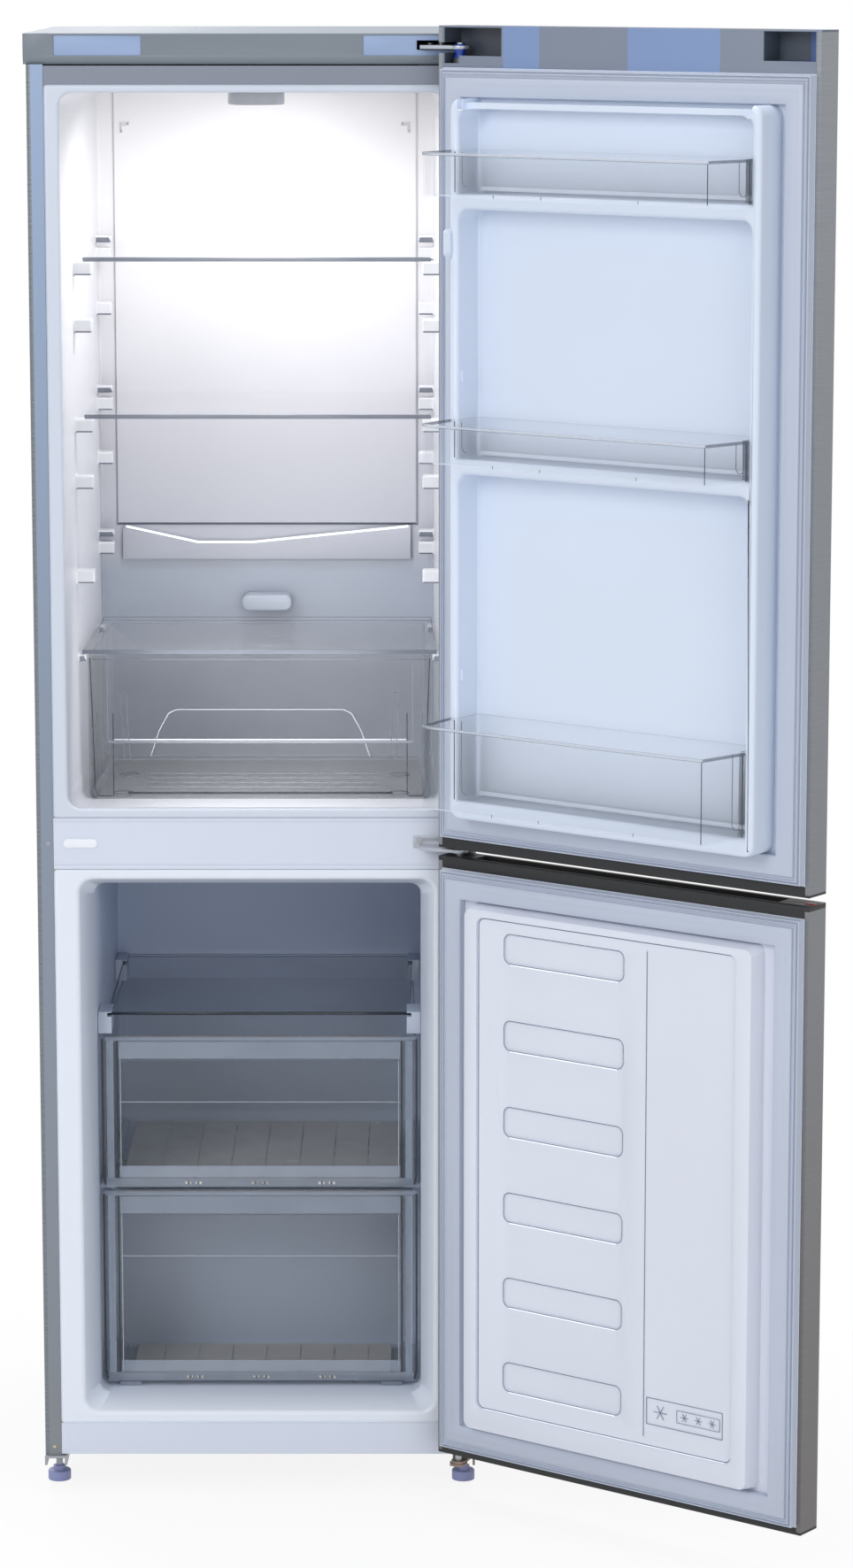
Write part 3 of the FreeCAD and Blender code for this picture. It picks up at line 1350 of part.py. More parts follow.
gasket_base = 2.0
gasket_web = 6.5
outer_rib_near = 8.0
outer_rib_far = 10.0
outer_rib_height = 9.0
inner_rib_near = 12.0
inner_rib_far = 13.6
inner_rib_height = 10.5
bulb_near = 17.5
bulb_height = door_gap - seat_gap
gasket_chamber = 1.6
gasket_margin = 0.6
dike_near = 50.0
dike_far = door_width - dike_near
dike_sill = 6.8
dike_bottom = fridge_bottom + dike_sill
dike_header = 3.9
dike_top = fridge_ceiling - dike_header
dike_depth = 47.0
dike_corner = 14.0
rail_width = 12.0
recess_floor = 3.0
recess_corner = 14.0
crossbar_drop = 5.0
crossbar_depth = 32.0
bottom_ledge_height = 23.0
ledge_bottom_top = dike_bottom + bottom_ledge_height
dike_height = dike_top - dike_bottom
low_ledge_share = 0.4856
ledge_thickness = 18.0
ledge_low_bottom = dike_bottom + dike_height * low_ledge_share
ledge_low_top = ledge_low_bottom + ledge_thickness
high_ledge_share = 0.85
ledge_high_bottom = dike_bottom + dike_height * high_ledge_share
ledge_high_top = ledge_high_bottom + ledge_thickness
dike_wall = 2.0
bin_lug_reach = 2.2
bin_lug_height = 14.0
bin_lug_near = 30.0
bin_lug_far = 38.0
switch_near = 41.0
switch_drop = 188.0
switch_length = 34.0
switch_low = dike_top - switch_drop
switch_high = switch_low + switch_length
block_near = 54.0
block_far_inset = 60.0
block_far = door_width - block_far_inset
block_slope = 4.0
block_face_near = block_near + block_slope
block_far_slope = 3.5
block_face_far = block_far - block_far_slope
block_sill = 5.5
block_bottom = freezer_bottom + block_sill
block_header = 3.0
block_top = freezer_ceiling - block_header
block_depth = 25.0
block_corner = 10.0
recess_near_border = 22.0
block_recess_near = block_near + recess_near_border
recess_far_border = 25.0
block_recess_far = block_far - recess_far_border
recess_low_border = 31.0
block_recess_bottom = block_bottom + recess_low_border
recess_high_border = 13.0
block_recess_top = block_top - recess_high_border
block_recess_depth = 4.0
pill_inset = 40.0
pill_near = block_recess_near + pill_inset
pill_length = 177.0
pill_far = pill_near + pill_length
pill_height = 37.0
pill_depth = 2.5
pill_corner = 9.0
pill_count = 6
pill_drop = 16.5
pill_low_gap = 30.0216
first_pill_top = block_recess_top - pill_drop
last_pill_top = block_recess_bottom + pill_low_gap + pill_height
pill_pitch = (first_pill_top - last_pill_top) / (pill_count - 1)
badge_inset = 13.5
badge_length = 110.5
badge_far = block_recess_far - badge_inset
badge_near = badge_far - badge_length
badge_lift = 28.0
badge_low = block_recess_bottom + badge_lift
badge_height = 34.0
badge_high = badge_low + badge_height
badge_depth = 0.8
seam_inset = 5.0
seam_u = badge_near - seam_inset
seam_width = 1.2
cap_plug_inset = 10.0
plug_u = door_width - cap_plug_inset
plug_v = -20.0
oval_plug_radius = 4.0
oval_plug_half = 4.0


def make_skin(name, z0, z1, notch):
    """The steel skin: outer face, both edges and a narrow flange folded in along each edge."""
    outer = door_box(0, door_width, -door_thickness, 0, z0, z1)
    inner = door_box(skin, door_width - skin, -door_thickness + skin, -skin, z0 - overrun, z1 + overrun)
    for x in (door_hinge_x, door_hinge_x - door_width):
        inward = skin if x < 0 else -skin
        outer = round_corner(outer, x, door_inner_y - door_thickness, door_edge_radius)
        inner = round_corner(inner, x + inward, door_inner_y - door_thickness + skin, door_edge_radius - skin)
    mouth = door_box(door_flange, door_width - door_flange, -skin - overrun, overrun, z0 - overrun, z1 + overrun)
    tools = [inner, mouth]
    if notch:
        tools.append(door_box(-overrun, notch_far, -notch_depth, overrun, notch_bottom, notch_top))
    save(name, door_place(outer.cut(tools)))


def cap_body(z0, z1, skin_low, skin_high, lip_low, lip_high):
    """A door end cap: a plug inside the skin, a strip between its flanges and a lip over its edge."""
    gap = skin + cap_side_gap
    plug = door_box(gap, door_width - gap, -door_thickness + gap, -gap, skin_low, skin_high)
    for x in (door_hinge_x - gap, door_hinge_x - door_width + gap):
        plug = round_corner(plug, x, door_inner_y - door_thickness + gap, door_edge_radius - skin)
    strip = door_box(door_flange + cap_side_gap, door_width - door_flange - cap_side_gap, -gap, 0, skin_low,
                     skin_high)
    lip = door_box(0, door_width, -door_thickness, 0, lip_low, lip_high)
    for x in (door_hinge_x, door_hinge_x - door_width):
        lip = round_corner(lip, x, door_inner_y - door_thickness, door_edge_radius)
    return fuse([plug, strip, lip])


def pin_hole(z0, z1):
    return rod(pin_bore, pin_x, pin_y, z0, z1)


def make_fridge_caps():
    body = cap_body(top_cap_bottom, top_cap_top, top_cap_bottom, fridge_door_top, fridge_door_top, top_cap_top)
    middle = door_box(pocket_far + cap_wall, spare_pocket_near - cap_wall, -pocket_depth, -cap_wall,
                      top_cap_bottom - overrun, top_cap_top - cap_wall)
    near = door_box(pocket_near, pocket_far, -pocket_depth, overrun, pocket_floor, pocket_roof)
    well = door_box(pocket_near, well_far, -well_depth, overrun, well_floor, pocket_floor + overrun)
    notch = door_box(-overrun, notch_far, -notch_depth, overrun, notch_bottom, notch_top)
    spare = door_box(spare_pocket_near, spare_pocket_far, -pocket_depth, overrun, pocket_floor, pocket_roof)
    boss = rod(pin_boss_radius, pin_x, pin_y, well_floor - overrun, washer_boss_top)
    body = body.cut([middle, near, well, notch, spare]).fuse(boss)
    save("fridge_door_top_cap", door_place(body.cut(pin_hole(top_pin_bottom - overrun, top_cap_top))
                                           .removeSplitter()))
    body = cap_body(low_cap_fridge_bottom, low_cap_fridge_top, fridge_door_bottom, low_cap_fridge_top,
                    low_cap_fridge_bottom, fridge_door_bottom)
    boss = rod(pin_boss_radius, pin_x, pin_y, fridge_door_bottom, low_cap_fridge_top + boss_depth)
    body = body.fuse(boss).cut(pin_hole(low_cap_fridge_bottom - overrun, mid_pin_top + overrun))
    save("fridge_door_bottom_cap", door_place(body.removeSplitter()))


def make_freezer_caps():
    body = cap_body(high_cap_freezer_bottom, high_cap_freezer_top, high_cap_freezer_bottom - sheet,
                    freezer_door_top, freezer_door_top, high_cap_freezer_top)
    trough = door_box(handle_near, handle_far, handle_front, handle_back, high_cap_freezer_top - handle_depth,
                      high_cap_freezer_top + overrun)
    floor = door_box(handle_near - cap_wall, handle_far + cap_wall, handle_front - cap_wall, handle_back + cap_wall,
                     high_cap_freezer_top - handle_depth - cap_wall, freezer_door_top)
    boss = rod(pin_boss_radius, pin_x, pin_y, high_cap_freezer_bottom - boss_depth, freezer_door_top)
    hole = oval_plug(0, high_cap_freezer_top - handle_depth / 2, high_cap_freezer_top + overrun)
    body = body.fuse([floor, boss]).cut([trough, hole, pin_hole(mid_pin_bottom - overrun, high_cap_freezer_top +
                                                                overrun)])
    save("freezer_door_top_cap", door_place(body.removeSplitter()))
    plug = oval_plug(0, high_cap_freezer_top - handle_depth / 2, high_cap_freezer_top + sheet / 2)
    save("freezer_cap_plug", door_place(plug))
    body = cap_body(low_cap_freezer_bottom, low_cap_freezer_top, freezer_door_bottom, low_cap_freezer_top,
                    low_cap_freezer_bottom, freezer_door_bottom)
    boss = rod(pin_boss_radius, pin_x, pin_y, freezer_door_bottom, low_cap_freezer_top + boss_depth)
    body = body.fuse(boss).cut(pin_hole(low_cap_freezer_bottom - overrun, low_pin_top + overrun))
    save("freezer_door_bottom_cap", door_place(body.removeSplitter()))


def oval_plug(grow, z0, z1):
    x = door_hinge_x - plug_u
    y = door_inner_y + plug_v
    radius = oval_plug_radius + grow
    ends = [rod(radius, x - oval_plug_half, y, z0, z1), rod(radius, x + oval_plug_half, y, z0, z1)]
    return fuse(ends + [box(x - oval_plug_half, x + oval_plug_half, y - radius, y + radius, z0, z1)])


def frame_ring(near, far, v0, v1, outer_low, outer_high):
    """A square frame: near and far are distances in from the gasket's outer rim."""
    outer = door_box(near, door_width - near, v0, v1, outer_low + near, outer_high - near)
    inner = door_box(far, door_width - far, v0 - overrun, v1 + overrun, outer_low + far, outer_high - far)
    return outer.cut(inner)


def make_gasket(name, low, high):
    """The magnetic gasket: a base, a web with two ribs and the wide hollow bulb that meets the cabinet."""
    base_low = low - gasket_outer
    base_high = high + gasket_outer
    pieces = [frame_ring(gasket_outer, gasket_inner, 0, gasket_base, base_low, base_high)]
    for near, far, height in ((outer_rib_near, bulb_near, gasket_web),
                              (outer_rib_near, outer_rib_far, outer_rib_height),
                              (inner_rib_near, inner_rib_far, inner_rib_height),
                              (bulb_near, gasket_inner, bulb_height)):
        pieces.append(frame_ring(near, far, 0, height, base_low, base_high))
    chamber = frame_ring(bulb_near + gasket_chamber, gasket_inner - gasket_chamber, gasket_base,
                         bulb_height - gasket_chamber, base_low, base_high)
    save(name, door_place(fuse(pieces).cut(chamber)))


def fridge_dike(grow):
    """The raised frame of the fridge door liner with its ledges, shrunk by a wall all round."""
    back = -land_thickness - overrun if grow else -land_thickness
    outer = door_block(dike_near + grow, dike_far - grow, back, dike_depth - grow, dike_bottom + grow,
                       dike_top - grow, dike_corner - grow)
    recesses = []
    levels = [(ledge_bottom_top, ledge_low_bottom), (ledge_low_top, ledge_high_bottom),
              (ledge_high_top, dike_top - rail_width)]
    near = dike_near + rail_width - grow
    far = dike_far - rail_width + grow
    for low, high in levels:
        recesses.append(door_block(near, far, recess_floor - grow, dike_depth + overrun, low - grow, high + grow,
                                   recess_corner + grow))
        recesses.append(door_box(near, far, recess_floor - grow, dike_depth + overrun, low - grow,
                                 high - recess_corner))
    recesses.append(door_box(near, far, crossbar_depth - grow, dike_depth + overrun, dike_top - rail_width - grow,
                             dike_top + overrun))
    recesses.append(door_box(near, far, -land_thickness - overrun, crossbar_depth + overrun,
                             dike_top - crossbar_drop - grow, dike_top + overrun))
    return outer.cut(recesses)


def fridge_bin_lugs():
    lugs = []
    for name, floor, height in door_bins():
        low = floor + height + bin_lift + bin_lug_height
        for near, far in ((dike_near + rail_width - dike_wall / 2, dike_near + rail_width + bin_lug_reach),
                          (dike_far - rail_width - bin_lug_reach, dike_far - rail_width + dike_wall / 2)):
            lugs.append(door_box(near, far, bin_lug_near, bin_lug_far, low, low + bin_lug_height))
    return lugs


# Door bins
upper_bin_height = 51.7
middle_bin_height = 47.7
lower_bin_height = 101.7
bin_lift = 30.0
bin_wall = 2.2
bin_rear_gap = 3.0
bin_rear_depth = 5.0
bin_joint_depth = 48.5
bin_front_depth = 120.0
bin_flare_depth = 113.0
bin_side_step = 6.0
bin_near = dike_near + bin_side_step
bin_flare_step = 11.0
bin_flare_near = dike_near + bin_flare_step
bin_front_step = 30.0
bin_front_near = dike_near + bin_front_step
bin_front_far_step = 22.0
bin_front_far = dike_far - bin_front_far_step
bin_far_step = 9.0
bin_far = dike_far - bin_far_step
bin_rim = 3.5
bin_rim_rise = 1.0


def door_bins():
    """Name, underside and height of each bin."""
    return [("door_bin_upper", ledge_high_top + seat_gap, upper_bin_height),
            ("door_bin_middle", ledge_low_top + seat_gap, middle_bin_height),
            ("door_bin_lower", ledge_bottom_top + seat_gap, lower_bin_height)]


def bin_outline(inset):
    """Plan of a bin, drawn in from its outside by a wall."""
    rear_near = dike_near + rail_width + bin_rear_gap
    rear_far = dike_far - rail_width - bin_rear_gap
    return [(rear_near + inset, bin_rear_depth + inset), (rear_near + inset, bin_joint_depth + inset),
            (bin_near + inset, bin_joint_depth + inset), (bin_flare_near + inset, bin_flare_depth - inset / 2),
            (bin_front_near + inset / 2, bin_front_depth - inset), (bin_front_far - inset, bin_front_depth - inset),
            (bin_far - inset, bin_joint_depth + inset), (rear_far - inset, bin_joint_depth + inset),
            (rear_far - inset, bin_rear_depth + inset)]


def make_bins():
    for name, low, height in door_bins():
        high = low + height
        outer = door_prism(bin_outline(0), low, high)
        rim = door_prism(bin_outline(-bin_rim_rise), high - bin_rim, high)
        rear = door_box(0, door_width, -overrun, bin_joint_depth + bin_rim_rise, low, high + overrun)
        inner = door_prism(bin_outline(bin_wall), low + bin_wall, high + overrun)
        save(name, door_place(fuse([outer, rim.cut(rear)]).cut(inner)))


def make_fridge_door_liner():
    land = door_box(door_flange + cap_side_gap, door_width - door_flange - cap_side_gap, -land_thickness, 0,
                    low_cap_fridge_top, top_cap_bottom)
    switch = door_block(switch_near, dike_near + rail_width / 2, dike_depth - rail_width, dike_depth + rim_rise,
                        switch_low, switch_high, drawer_corner)
    liner = land.fuse([fridge_dike(0)] + fridge_bin_lugs()).cut(fridge_dike(dike_wall)).removeSplitter()
    save("fridge_door_liner", door_place(Part.makeCompound([liner, switch.cut(fridge_dike(0))])))


def freezer_block(grow):
    """The raised block of the freezer door liner, shrunk by a wall all round."""
    foot = door_ring(block_near + grow, block_far - grow, block_bottom + grow, block_top - grow,
                     -land_thickness)
    face = door_ring(block_face_near + grow, block_face_far - grow, block_bottom + block_slope + grow,
                     block_top - block_slope - grow, block_depth - grow)
    body = loft(foot, face)
    recess = door_block(block_recess_near - grow, block_recess_far + grow, block_depth - block_recess_depth - grow,
                        block_depth + overrun, block_recess_bottom - grow, block_recess_top + grow, block_corner)
    face = block_depth - block_recess_depth
    pills = []
    for i in range(pill_count):
        top = first_pill_top - pill_pitch * i
        pills.append(door_block(pill_near - grow, pill_far + grow, face - pill_depth - grow, face + overrun,
                                top - pill_height - grow, top + grow, pill_corner + grow))
    return body.cut([recess] + pills)


def door_ring(u0, u1, z0, z1, v):
    """A rounded rectangle on the door, standing at a depth v."""
    profile = door_block(u0, u1, v, v + overrun, z0, z1, block_corner)
    for face in profile.Faces:
        if abs(face.CenterOfMass.y - door_inner_y - v) < running_gap:
            return face.OuterWire
    return None


def make_freezer_door_liner():
    land = door_box(door_flange + cap_side_gap, door_width - door_flange - cap_side_gap, -land_thickness, 0,
                    low_cap_freezer_top, high_cap_freezer_bottom - sheet)
    shell = land.fuse(freezer_block(0)).cut(freezer_block(dike_wall))
    face = block_depth - block_recess_depth
    badge = door_box(badge_near, badge_far, face - badge_depth, face + overrun, badge_low, badge_high)
    seam = door_box(seam_u, seam_u + seam_width, face - badge_depth, face + overrun,
                    block_recess_bottom + block_corner, block_recess_top - block_corner)
    save("freezer_door_liner", door_place(shell.cut([badge, seam]).removeSplitter()))


def make_door_foam():
    for name, z0, z1, hollow, tool_low, tool_high in (
            ("fridge_door_insulation", low_cap_fridge_top, top_cap_bottom, fridge_dike, mid_pin_bottom,
             mid_pin_top + boss_depth),
            ("freezer_door_insulation", low_cap_freezer_top, high_cap_freezer_bottom - sheet, freezer_block,
             low_pin_bottom, low_pin_top + boss_depth)):
        core = door_box(skin, door_width - skin, -door_thickness + skin, -land_thickness, z0, z1)
        for x in (door_hinge_x - skin, door_hinge_x - door_width + skin):
            core = round_corner(core, x, door_inner_y - door_thickness + skin, door_edge_radius - skin)
        tools = [rod(foam_pin_clearance, pin_x, pin_y, tool_low, tool_high),
                 rod(foam_pin_clearance, pin_x, pin_y, top_pin_bottom - sheet * 3, top_pin_top),
                 rod(foam_pin_clearance, pin_x, pin_y, high_cap_freezer_bottom - boss_depth - sheet,
                     high_cap_freezer_top)]
        save(name, door_place(core.fuse(hollow(dike_wall)).cut(tools).removeSplitter()))


def main():
    os.makedirs("parts", exist_ok=True)
    make_shell()
    make_cover()
    make_mullion()
    make_hinges()
    make_feet()
    make_liners()
    plates = make_cooling()
    make_wiring()
    make_base()
    make_foam(plates)
    make_fridge_fittings()
    make_shelves()
    make_crisper()
    make_freezer_drawers()
    make_skin("fridge_door_skin", fridge_door_bottom, fridge_door_top, True)
    make_skin("freezer_door_skin", freezer_door_bottom, freezer_door_top, False)
    make_fridge_caps()
    make_freezer_caps()
    make_gasket("fridge_door_gasket", low_cap_fridge_top + gasket_margin, top_cap_bottom - gasket_margin)
    make_gasket("freezer_door_gasket", low_cap_freezer_top + gasket_margin,
                high_cap_freezer_bottom - sheet - gasket_margin)
    make_fridge_door_liner()
    make_freezer_door_liner()
    make_door_foam()
    make_bins()
    print(len(nodes), "nodes")


main()
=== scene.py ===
# %% [markdown]
# This file dresses a two-door fridge freezer. The steel, plastic and glass pieces come in as a fixed frame
# of solids, already at their real size and place, and this script gives them their finish and remakes the
# pieces whose edges, ribs and rims need more than a plain solid: gaskets, door bins, drawers and shelves.

# %% Load the frame and keep its box
import json
import math

import bmesh
import bpy
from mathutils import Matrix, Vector


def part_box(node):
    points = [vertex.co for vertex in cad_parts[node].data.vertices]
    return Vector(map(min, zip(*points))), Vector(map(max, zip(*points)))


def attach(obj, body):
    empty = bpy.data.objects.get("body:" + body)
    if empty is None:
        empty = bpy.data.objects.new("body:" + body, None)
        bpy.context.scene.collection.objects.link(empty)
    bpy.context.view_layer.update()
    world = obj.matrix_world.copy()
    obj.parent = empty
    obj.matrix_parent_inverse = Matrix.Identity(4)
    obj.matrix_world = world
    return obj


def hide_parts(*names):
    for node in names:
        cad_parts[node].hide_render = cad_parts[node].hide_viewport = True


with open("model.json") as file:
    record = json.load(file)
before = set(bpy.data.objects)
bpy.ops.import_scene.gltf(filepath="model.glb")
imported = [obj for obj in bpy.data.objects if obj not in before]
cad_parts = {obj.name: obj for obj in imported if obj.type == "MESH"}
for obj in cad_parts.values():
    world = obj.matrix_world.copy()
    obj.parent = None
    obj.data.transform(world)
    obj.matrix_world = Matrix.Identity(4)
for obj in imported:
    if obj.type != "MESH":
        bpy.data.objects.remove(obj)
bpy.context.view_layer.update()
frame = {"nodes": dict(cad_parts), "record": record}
nodes = frame["nodes"]

# %% [markdown]
# The camera stands almost six metres in front of the fridge at head height and looks down ten degrees. Its
# long lens is why the cabinet's sides hardly converge. Length and place were found from the corners of the
# cabinet.

# %% Camera
camera_place = (0.21105, -5.7784, 1.9283)
camera_tilt = math.radians(80)
camera_lens = 108.93
film_width = 36
sight_reach = 50

camera_data = bpy.data.cameras.new("photo_camera")
camera_data.lens = camera_lens
camera_data.sensor_width = film_width
camera_data.clip_end = sight_reach
camera = bpy.data.objects.new("photo_camera", camera_data)
camera.location = camera_place
camera.rotation_euler = (camera_tilt, 0, 0)
bpy.context.collection.objects.link(camera)
bpy.context.scene.camera = camera
print("camera lens", camera_lens, "mm")

# %% [markdown]
# A studio shot on white: the world is a soft pale dome, which the camera, mirrors and glass see as pure
# white. Large lamps give the plastics their slow highlights: a key from the upper left, a weak one from the
# right to open the door's inside, one from above for the top cover and one for the back. The fridge's own
# lamp burns warm white under the ceiling, and two faint glows stand for the light that its white walls
# throw back.

# %% World and lamps
dome_strength = 0.42
dome_tint = (0.94, 0.965, 1.0, 1)
pure_white = (1, 1, 1, 1)
plain_white = (1.0, 1.0, 1.0)
warm_white = (1.0, 0.96, 0.93)
# name, place, what it is aimed at, side in metres, watts, tint
lamp_settings = [
    ("key_lamp", (-2.6, -4.2, 3.4), (0.0, 0.0, 1.0), 2.4, 105, plain_white),
    ("fill_lamp", (2.4, -4.6, 1.6), (0.2, 0.0, 0.9), 3.2, 45, plain_white),
    ("top_lamp", (0.2, 0.4, 4.2), (0.1, 0.1, 0.9), 2.4, 70, plain_white),
    ("back_lamp", (-1.6, 3.6, 2.6), (0.0, 0.3, 0.9), 2.6, 60, plain_white),
    ("fridge_lamp", (0.0, 0.17, 1.72), (0.0, 0.25, 1.0), 0.16, 1.7, warm_white),
    ("fridge_glow", (0.0, 0.02, 1.35), (0.0, 0.5, 1.3), 0.42, 0.15, warm_white),
    ("crisper_glow", (0.0, 0.04, 1.0), (0.0, 0.5, 0.92), 0.3, 0.62, warm_white),
]


def sees_background(tree):
    """1 for a ray of the camera, of a mirror or of glass, which all show the white background."""
    path = tree.nodes.new("ShaderNodeLightPath")
    seen = path.outputs["Is Camera Ray"]
    for kind in ("Is Glossy Ray", "Is Transmission Ray"):
        either = tree.nodes.new("ShaderNodeMath")
        either.operation = "MAXIMUM"
        tree.links.new(seen, either.inputs[0])
        tree.links.new(path.outputs[kind], either.inputs[1])
        seen = either.outputs[0]
    return seen


def studio_world(strength):
    world = bpy.data.worlds.new("studio_world")
    world.use_nodes = True
    tree = world.node_tree
    tree.nodes.clear()
    out = tree.nodes.new("ShaderNodeOutputWorld")
    mix = tree.nodes.new("ShaderNodeMixShader")
    dome = tree.nodes.new("ShaderNodeBackground")
    white = tree.nodes.new("ShaderNodeBackground")
    seen = sees_background(tree)
    dome.inputs["Color"].default_value = dome_tint
    dome.inputs["Strength"].default_value = strength
    white.inputs["Color"].default_value = pure_white
    white.inputs["Strength"].default_value = 1
    tree.links.new(seen, mix.inputs["Fac"])
    tree.links.new(dome.outputs[0], mix.inputs[1])
    tree.links.new(white.outputs[0], mix.inputs[2])
    tree.links.new(mix.outputs[0], out.inputs["Surface"])
    return world


def aim(place, target):
    return (Vector(target) - Vector(place)).to_track_quat("-Z", "Y").to_euler()


bpy.context.scene.world = studio_world(dome_strength)
bpy.context.scene.view_settings.view_transform = "Standard"
for name, place, target, size, power, tint in lamp_settings:
    lamp = bpy.data.lights.new(name, "AREA")
    lamp.size = size
    lamp.energy = power
    lamp.color = tint
    lamp_object = bpy.data.objects.new(name, lamp)
    lamp_object.location = place
    lamp_object.rotation_euler = aim(place, target)
    bpy.context.collection.objects.link(lamp_object)
print(len(lamp_settings), "lamps")

# %% [markdown]
# Shader maths reads best as plain arithmetic. Value wraps one socket of a node tree, and adding,
# multiplying or subtracting two of them adds the Math node that does it. Finish holds one material: its
# node method adds any other node from its settings and its inputs.


# %% Shader helpers
def srgb(red, green, blue):
    """A colour as it is seen on a screen, 0 to 255, as the linear values that a shader takes."""
    def linear(level):
        share = level / 255
        return share / 12.92 if share <= 0.04045 else ((share + 0.055) / 1.055) ** 2.4
    return (linear(red), linear(green), linear(blue), 1)


class Value:
    def __init__(self, finish, socket):
        self.finish = finish
        self.socket = socket

    def math(self, operation, *others):
        inputs = {i: other for i, other in enumerate((self,) + others)}
        return self.finish.node("ShaderNodeMath", {"operation": operation}, inputs)

    def __add__(self, other):
        return self.math("ADD", other)

    def __sub__(self, other):
        return self.math("SUBTRACT", other)

    def __mul__(self, other):
        return self.math("MULTIPLY", other)

    def __truediv__(self, other):
        return self.math("DIVIDE", other)

    def __rsub__(self, other):
        return self.finish.node("ShaderNodeMath", {"operation": "SUBTRACT"}, {0: other, 1: self})

    __radd__ = __add__
    __rmul__ = __mul__

    def above(self, limit):
        return self.math("GREATER_THAN", limit)

    def below(self, limit):
        return self.math("LESS_THAN", limit)

    def absolute(self):
        return self.math("ABSOLUTE")


class Finish:
    """One material, built on a Principled shader."""

    def __init__(self, name, color, roughness, **fixed):
        self.material = bpy.data.materials.new(name)
        self.material.use_nodes = True
        self.tree = self.material.node_tree
        self.shader = self.tree.nodes["Principled BSDF"]
        self.set("Base Color", color)
        self.set("Roughness", roughness)
        for key, value in fixed.items():
            self.set(key.replace("_", " "), value)

    def node(self, kind, settings, inputs, output=0):
        node = self.tree.nodes.new(kind)
        for key, value in settings.items():
            if key == "stops":
                self.fill_ramp(node.color_ramp, value)
            elif key == "steps":
                node.color_ramp.interpolation = "CONSTANT"
            else:
                setattr(node, key, value)
        for key, value in inputs.items():
            self.feed(node.inputs[key], value)
        return Value(self, node.outputs[output])

    def fill_ramp(self, ramp, stops):
        while len(ramp.elements) < len(stops):
            ramp.elements.new(0.5)
        for element, (place, color) in zip(ramp.elements, stops):
            element.position = place
            element.color = color

    def feed(self, socket, value):
        if isinstance(value, Value):
            self.tree.links.new(value.socket, socket)
        else:
            socket.default_value = value

    def set(self, key, value):
        self.feed(self.shader.inputs[key], value)

    def place(self, scale=(1, 1, 1)):
        """Object coordinates, stretched by a scale."""
        where = self.node("ShaderNodeTexCoord", {}, {}, "Object")
        stretch = {"Vector": where, "Scale": scale}
        return self.node("ShaderNodeMapping", {"vector_type": "POINT"}, stretch)

    def parts(self, vector):
        """The three numbers of a vector."""
        split = self.tree.nodes.new("ShaderNodeSeparateXYZ")
        self.feed(split.inputs[0], vector)
        return [Value(self, output) for output in split.outputs]

    def axes(self):
        """Where a point lies, in metres."""
        return self.parts(self.node("ShaderNodeTexCoord", {}, {}, "Object"))

    def noise(self, scale, detail=3, stretch=(1, 1, 1)):
        cloud = {"Vector": self.place(stretch), "Scale": scale, "Detail": detail}
        return self.node("ShaderNodeTexNoise", {}, cloud, "Fac")

    def mix(self, share, first, second):
        """A colour between two colours."""
        node = self.tree.nodes.new("ShaderNodeMix")
        node.data_type = "RGBA"
        self.feed(node.inputs["Factor"], share)
        ends = [socket for socket in node.inputs if socket.type == "RGBA"]
        self.feed(ends[0], first)
        self.feed(ends[1], second)
        results = [socket for socket in node.outputs if socket.type == "RGBA"]
        return Value(self, results[0])

    def ramp(self, share, stops):
        return self.node("ShaderNodeValToRGB", {"stops": stops}, {"Fac": share}, "Color")

    def patches(self, share, stops):
        """A ramp whose colours change at once."""
        ramp = {"stops": stops, "steps": True}
        return self.node("ShaderNodeValToRGB", ramp, {"Fac": share}, "Color")

    def bump(self, height, strength, distance):
        relief = {"Height": height, "Strength": strength, "Distance": distance}
        self.set("Normal", self.node("ShaderNodeBump", {}, relief, "Normal"))

    def grain(self, roughness, spread=0.06, scale=700, strength=0.3, depth=0.00003):
        """The fine grain of a moulding or a paint, which stirs the roughness and the light."""
        fine = self.noise(scale, 2)
        self.set("Roughness", roughness - spread / 2 + fine * spread)
        self.bump(fine, strength, depth)


print("shader helpers ready")

# %% [markdown]
# Moulded plastic is never one flat colour: light catches a very fine grain, and the tone drifts a little
# over a large panel. One function makes every plastic, with a colour, a roughness and the size of its
# grain.


# %% Plastic and rubber finishes
door_corner = (0.2259, -0.03324)
door_along = (0.7986, -0.6018)
door_inward = (-0.6018, -0.7986)
door_reach = 0.54
# Behind this depth the door's top cap lies in its end pockets, which get painted shade.
cap_face_depth = -0.002
# The fridge liner's painted shade runs from its foot to its top, and over the back wall behind this depth.
liner_low = 0.86
liner_high = 1.76
liner_back = 0.468
liner_rim_depth = 0.004
# Lugs below this height and behind this depth get painted shade on the faces that look down.
lug_zone_top = 1.7
lug_zone_front = 0.1
downward = -0.4
pad_height = 0.02


def plastic(name, color, roughness=0.42, grain=900, depth=0.00004, drift=0.035):
    finish = Finish(name, color, roughness)
    darker = tuple(c * (1 - drift * 2) for c in color[:3]) + (1,)
    finish.set("Base Color", finish.mix(finish.noise(3.5, 2), color, darker))
    finish.grain(roughness, 0.08, grain, 0.35, depth)
    return finish


def graded_painted_shade(name, axis, start, end, stops, roughness):
    """A plastic with painted shade along one axis, darker where less light reaches into a deep moulded
    liner.
    """
    finish = Finish(name, stops[0][1], roughness)
    share = (finish.axes()[axis] - start) / (end - start)
    finish.set("Base Color", finish.ramp(share + finish.noise(4, 2) * 0.06 - 0.03, stops))
    finish.grain(roughness)
    return finish


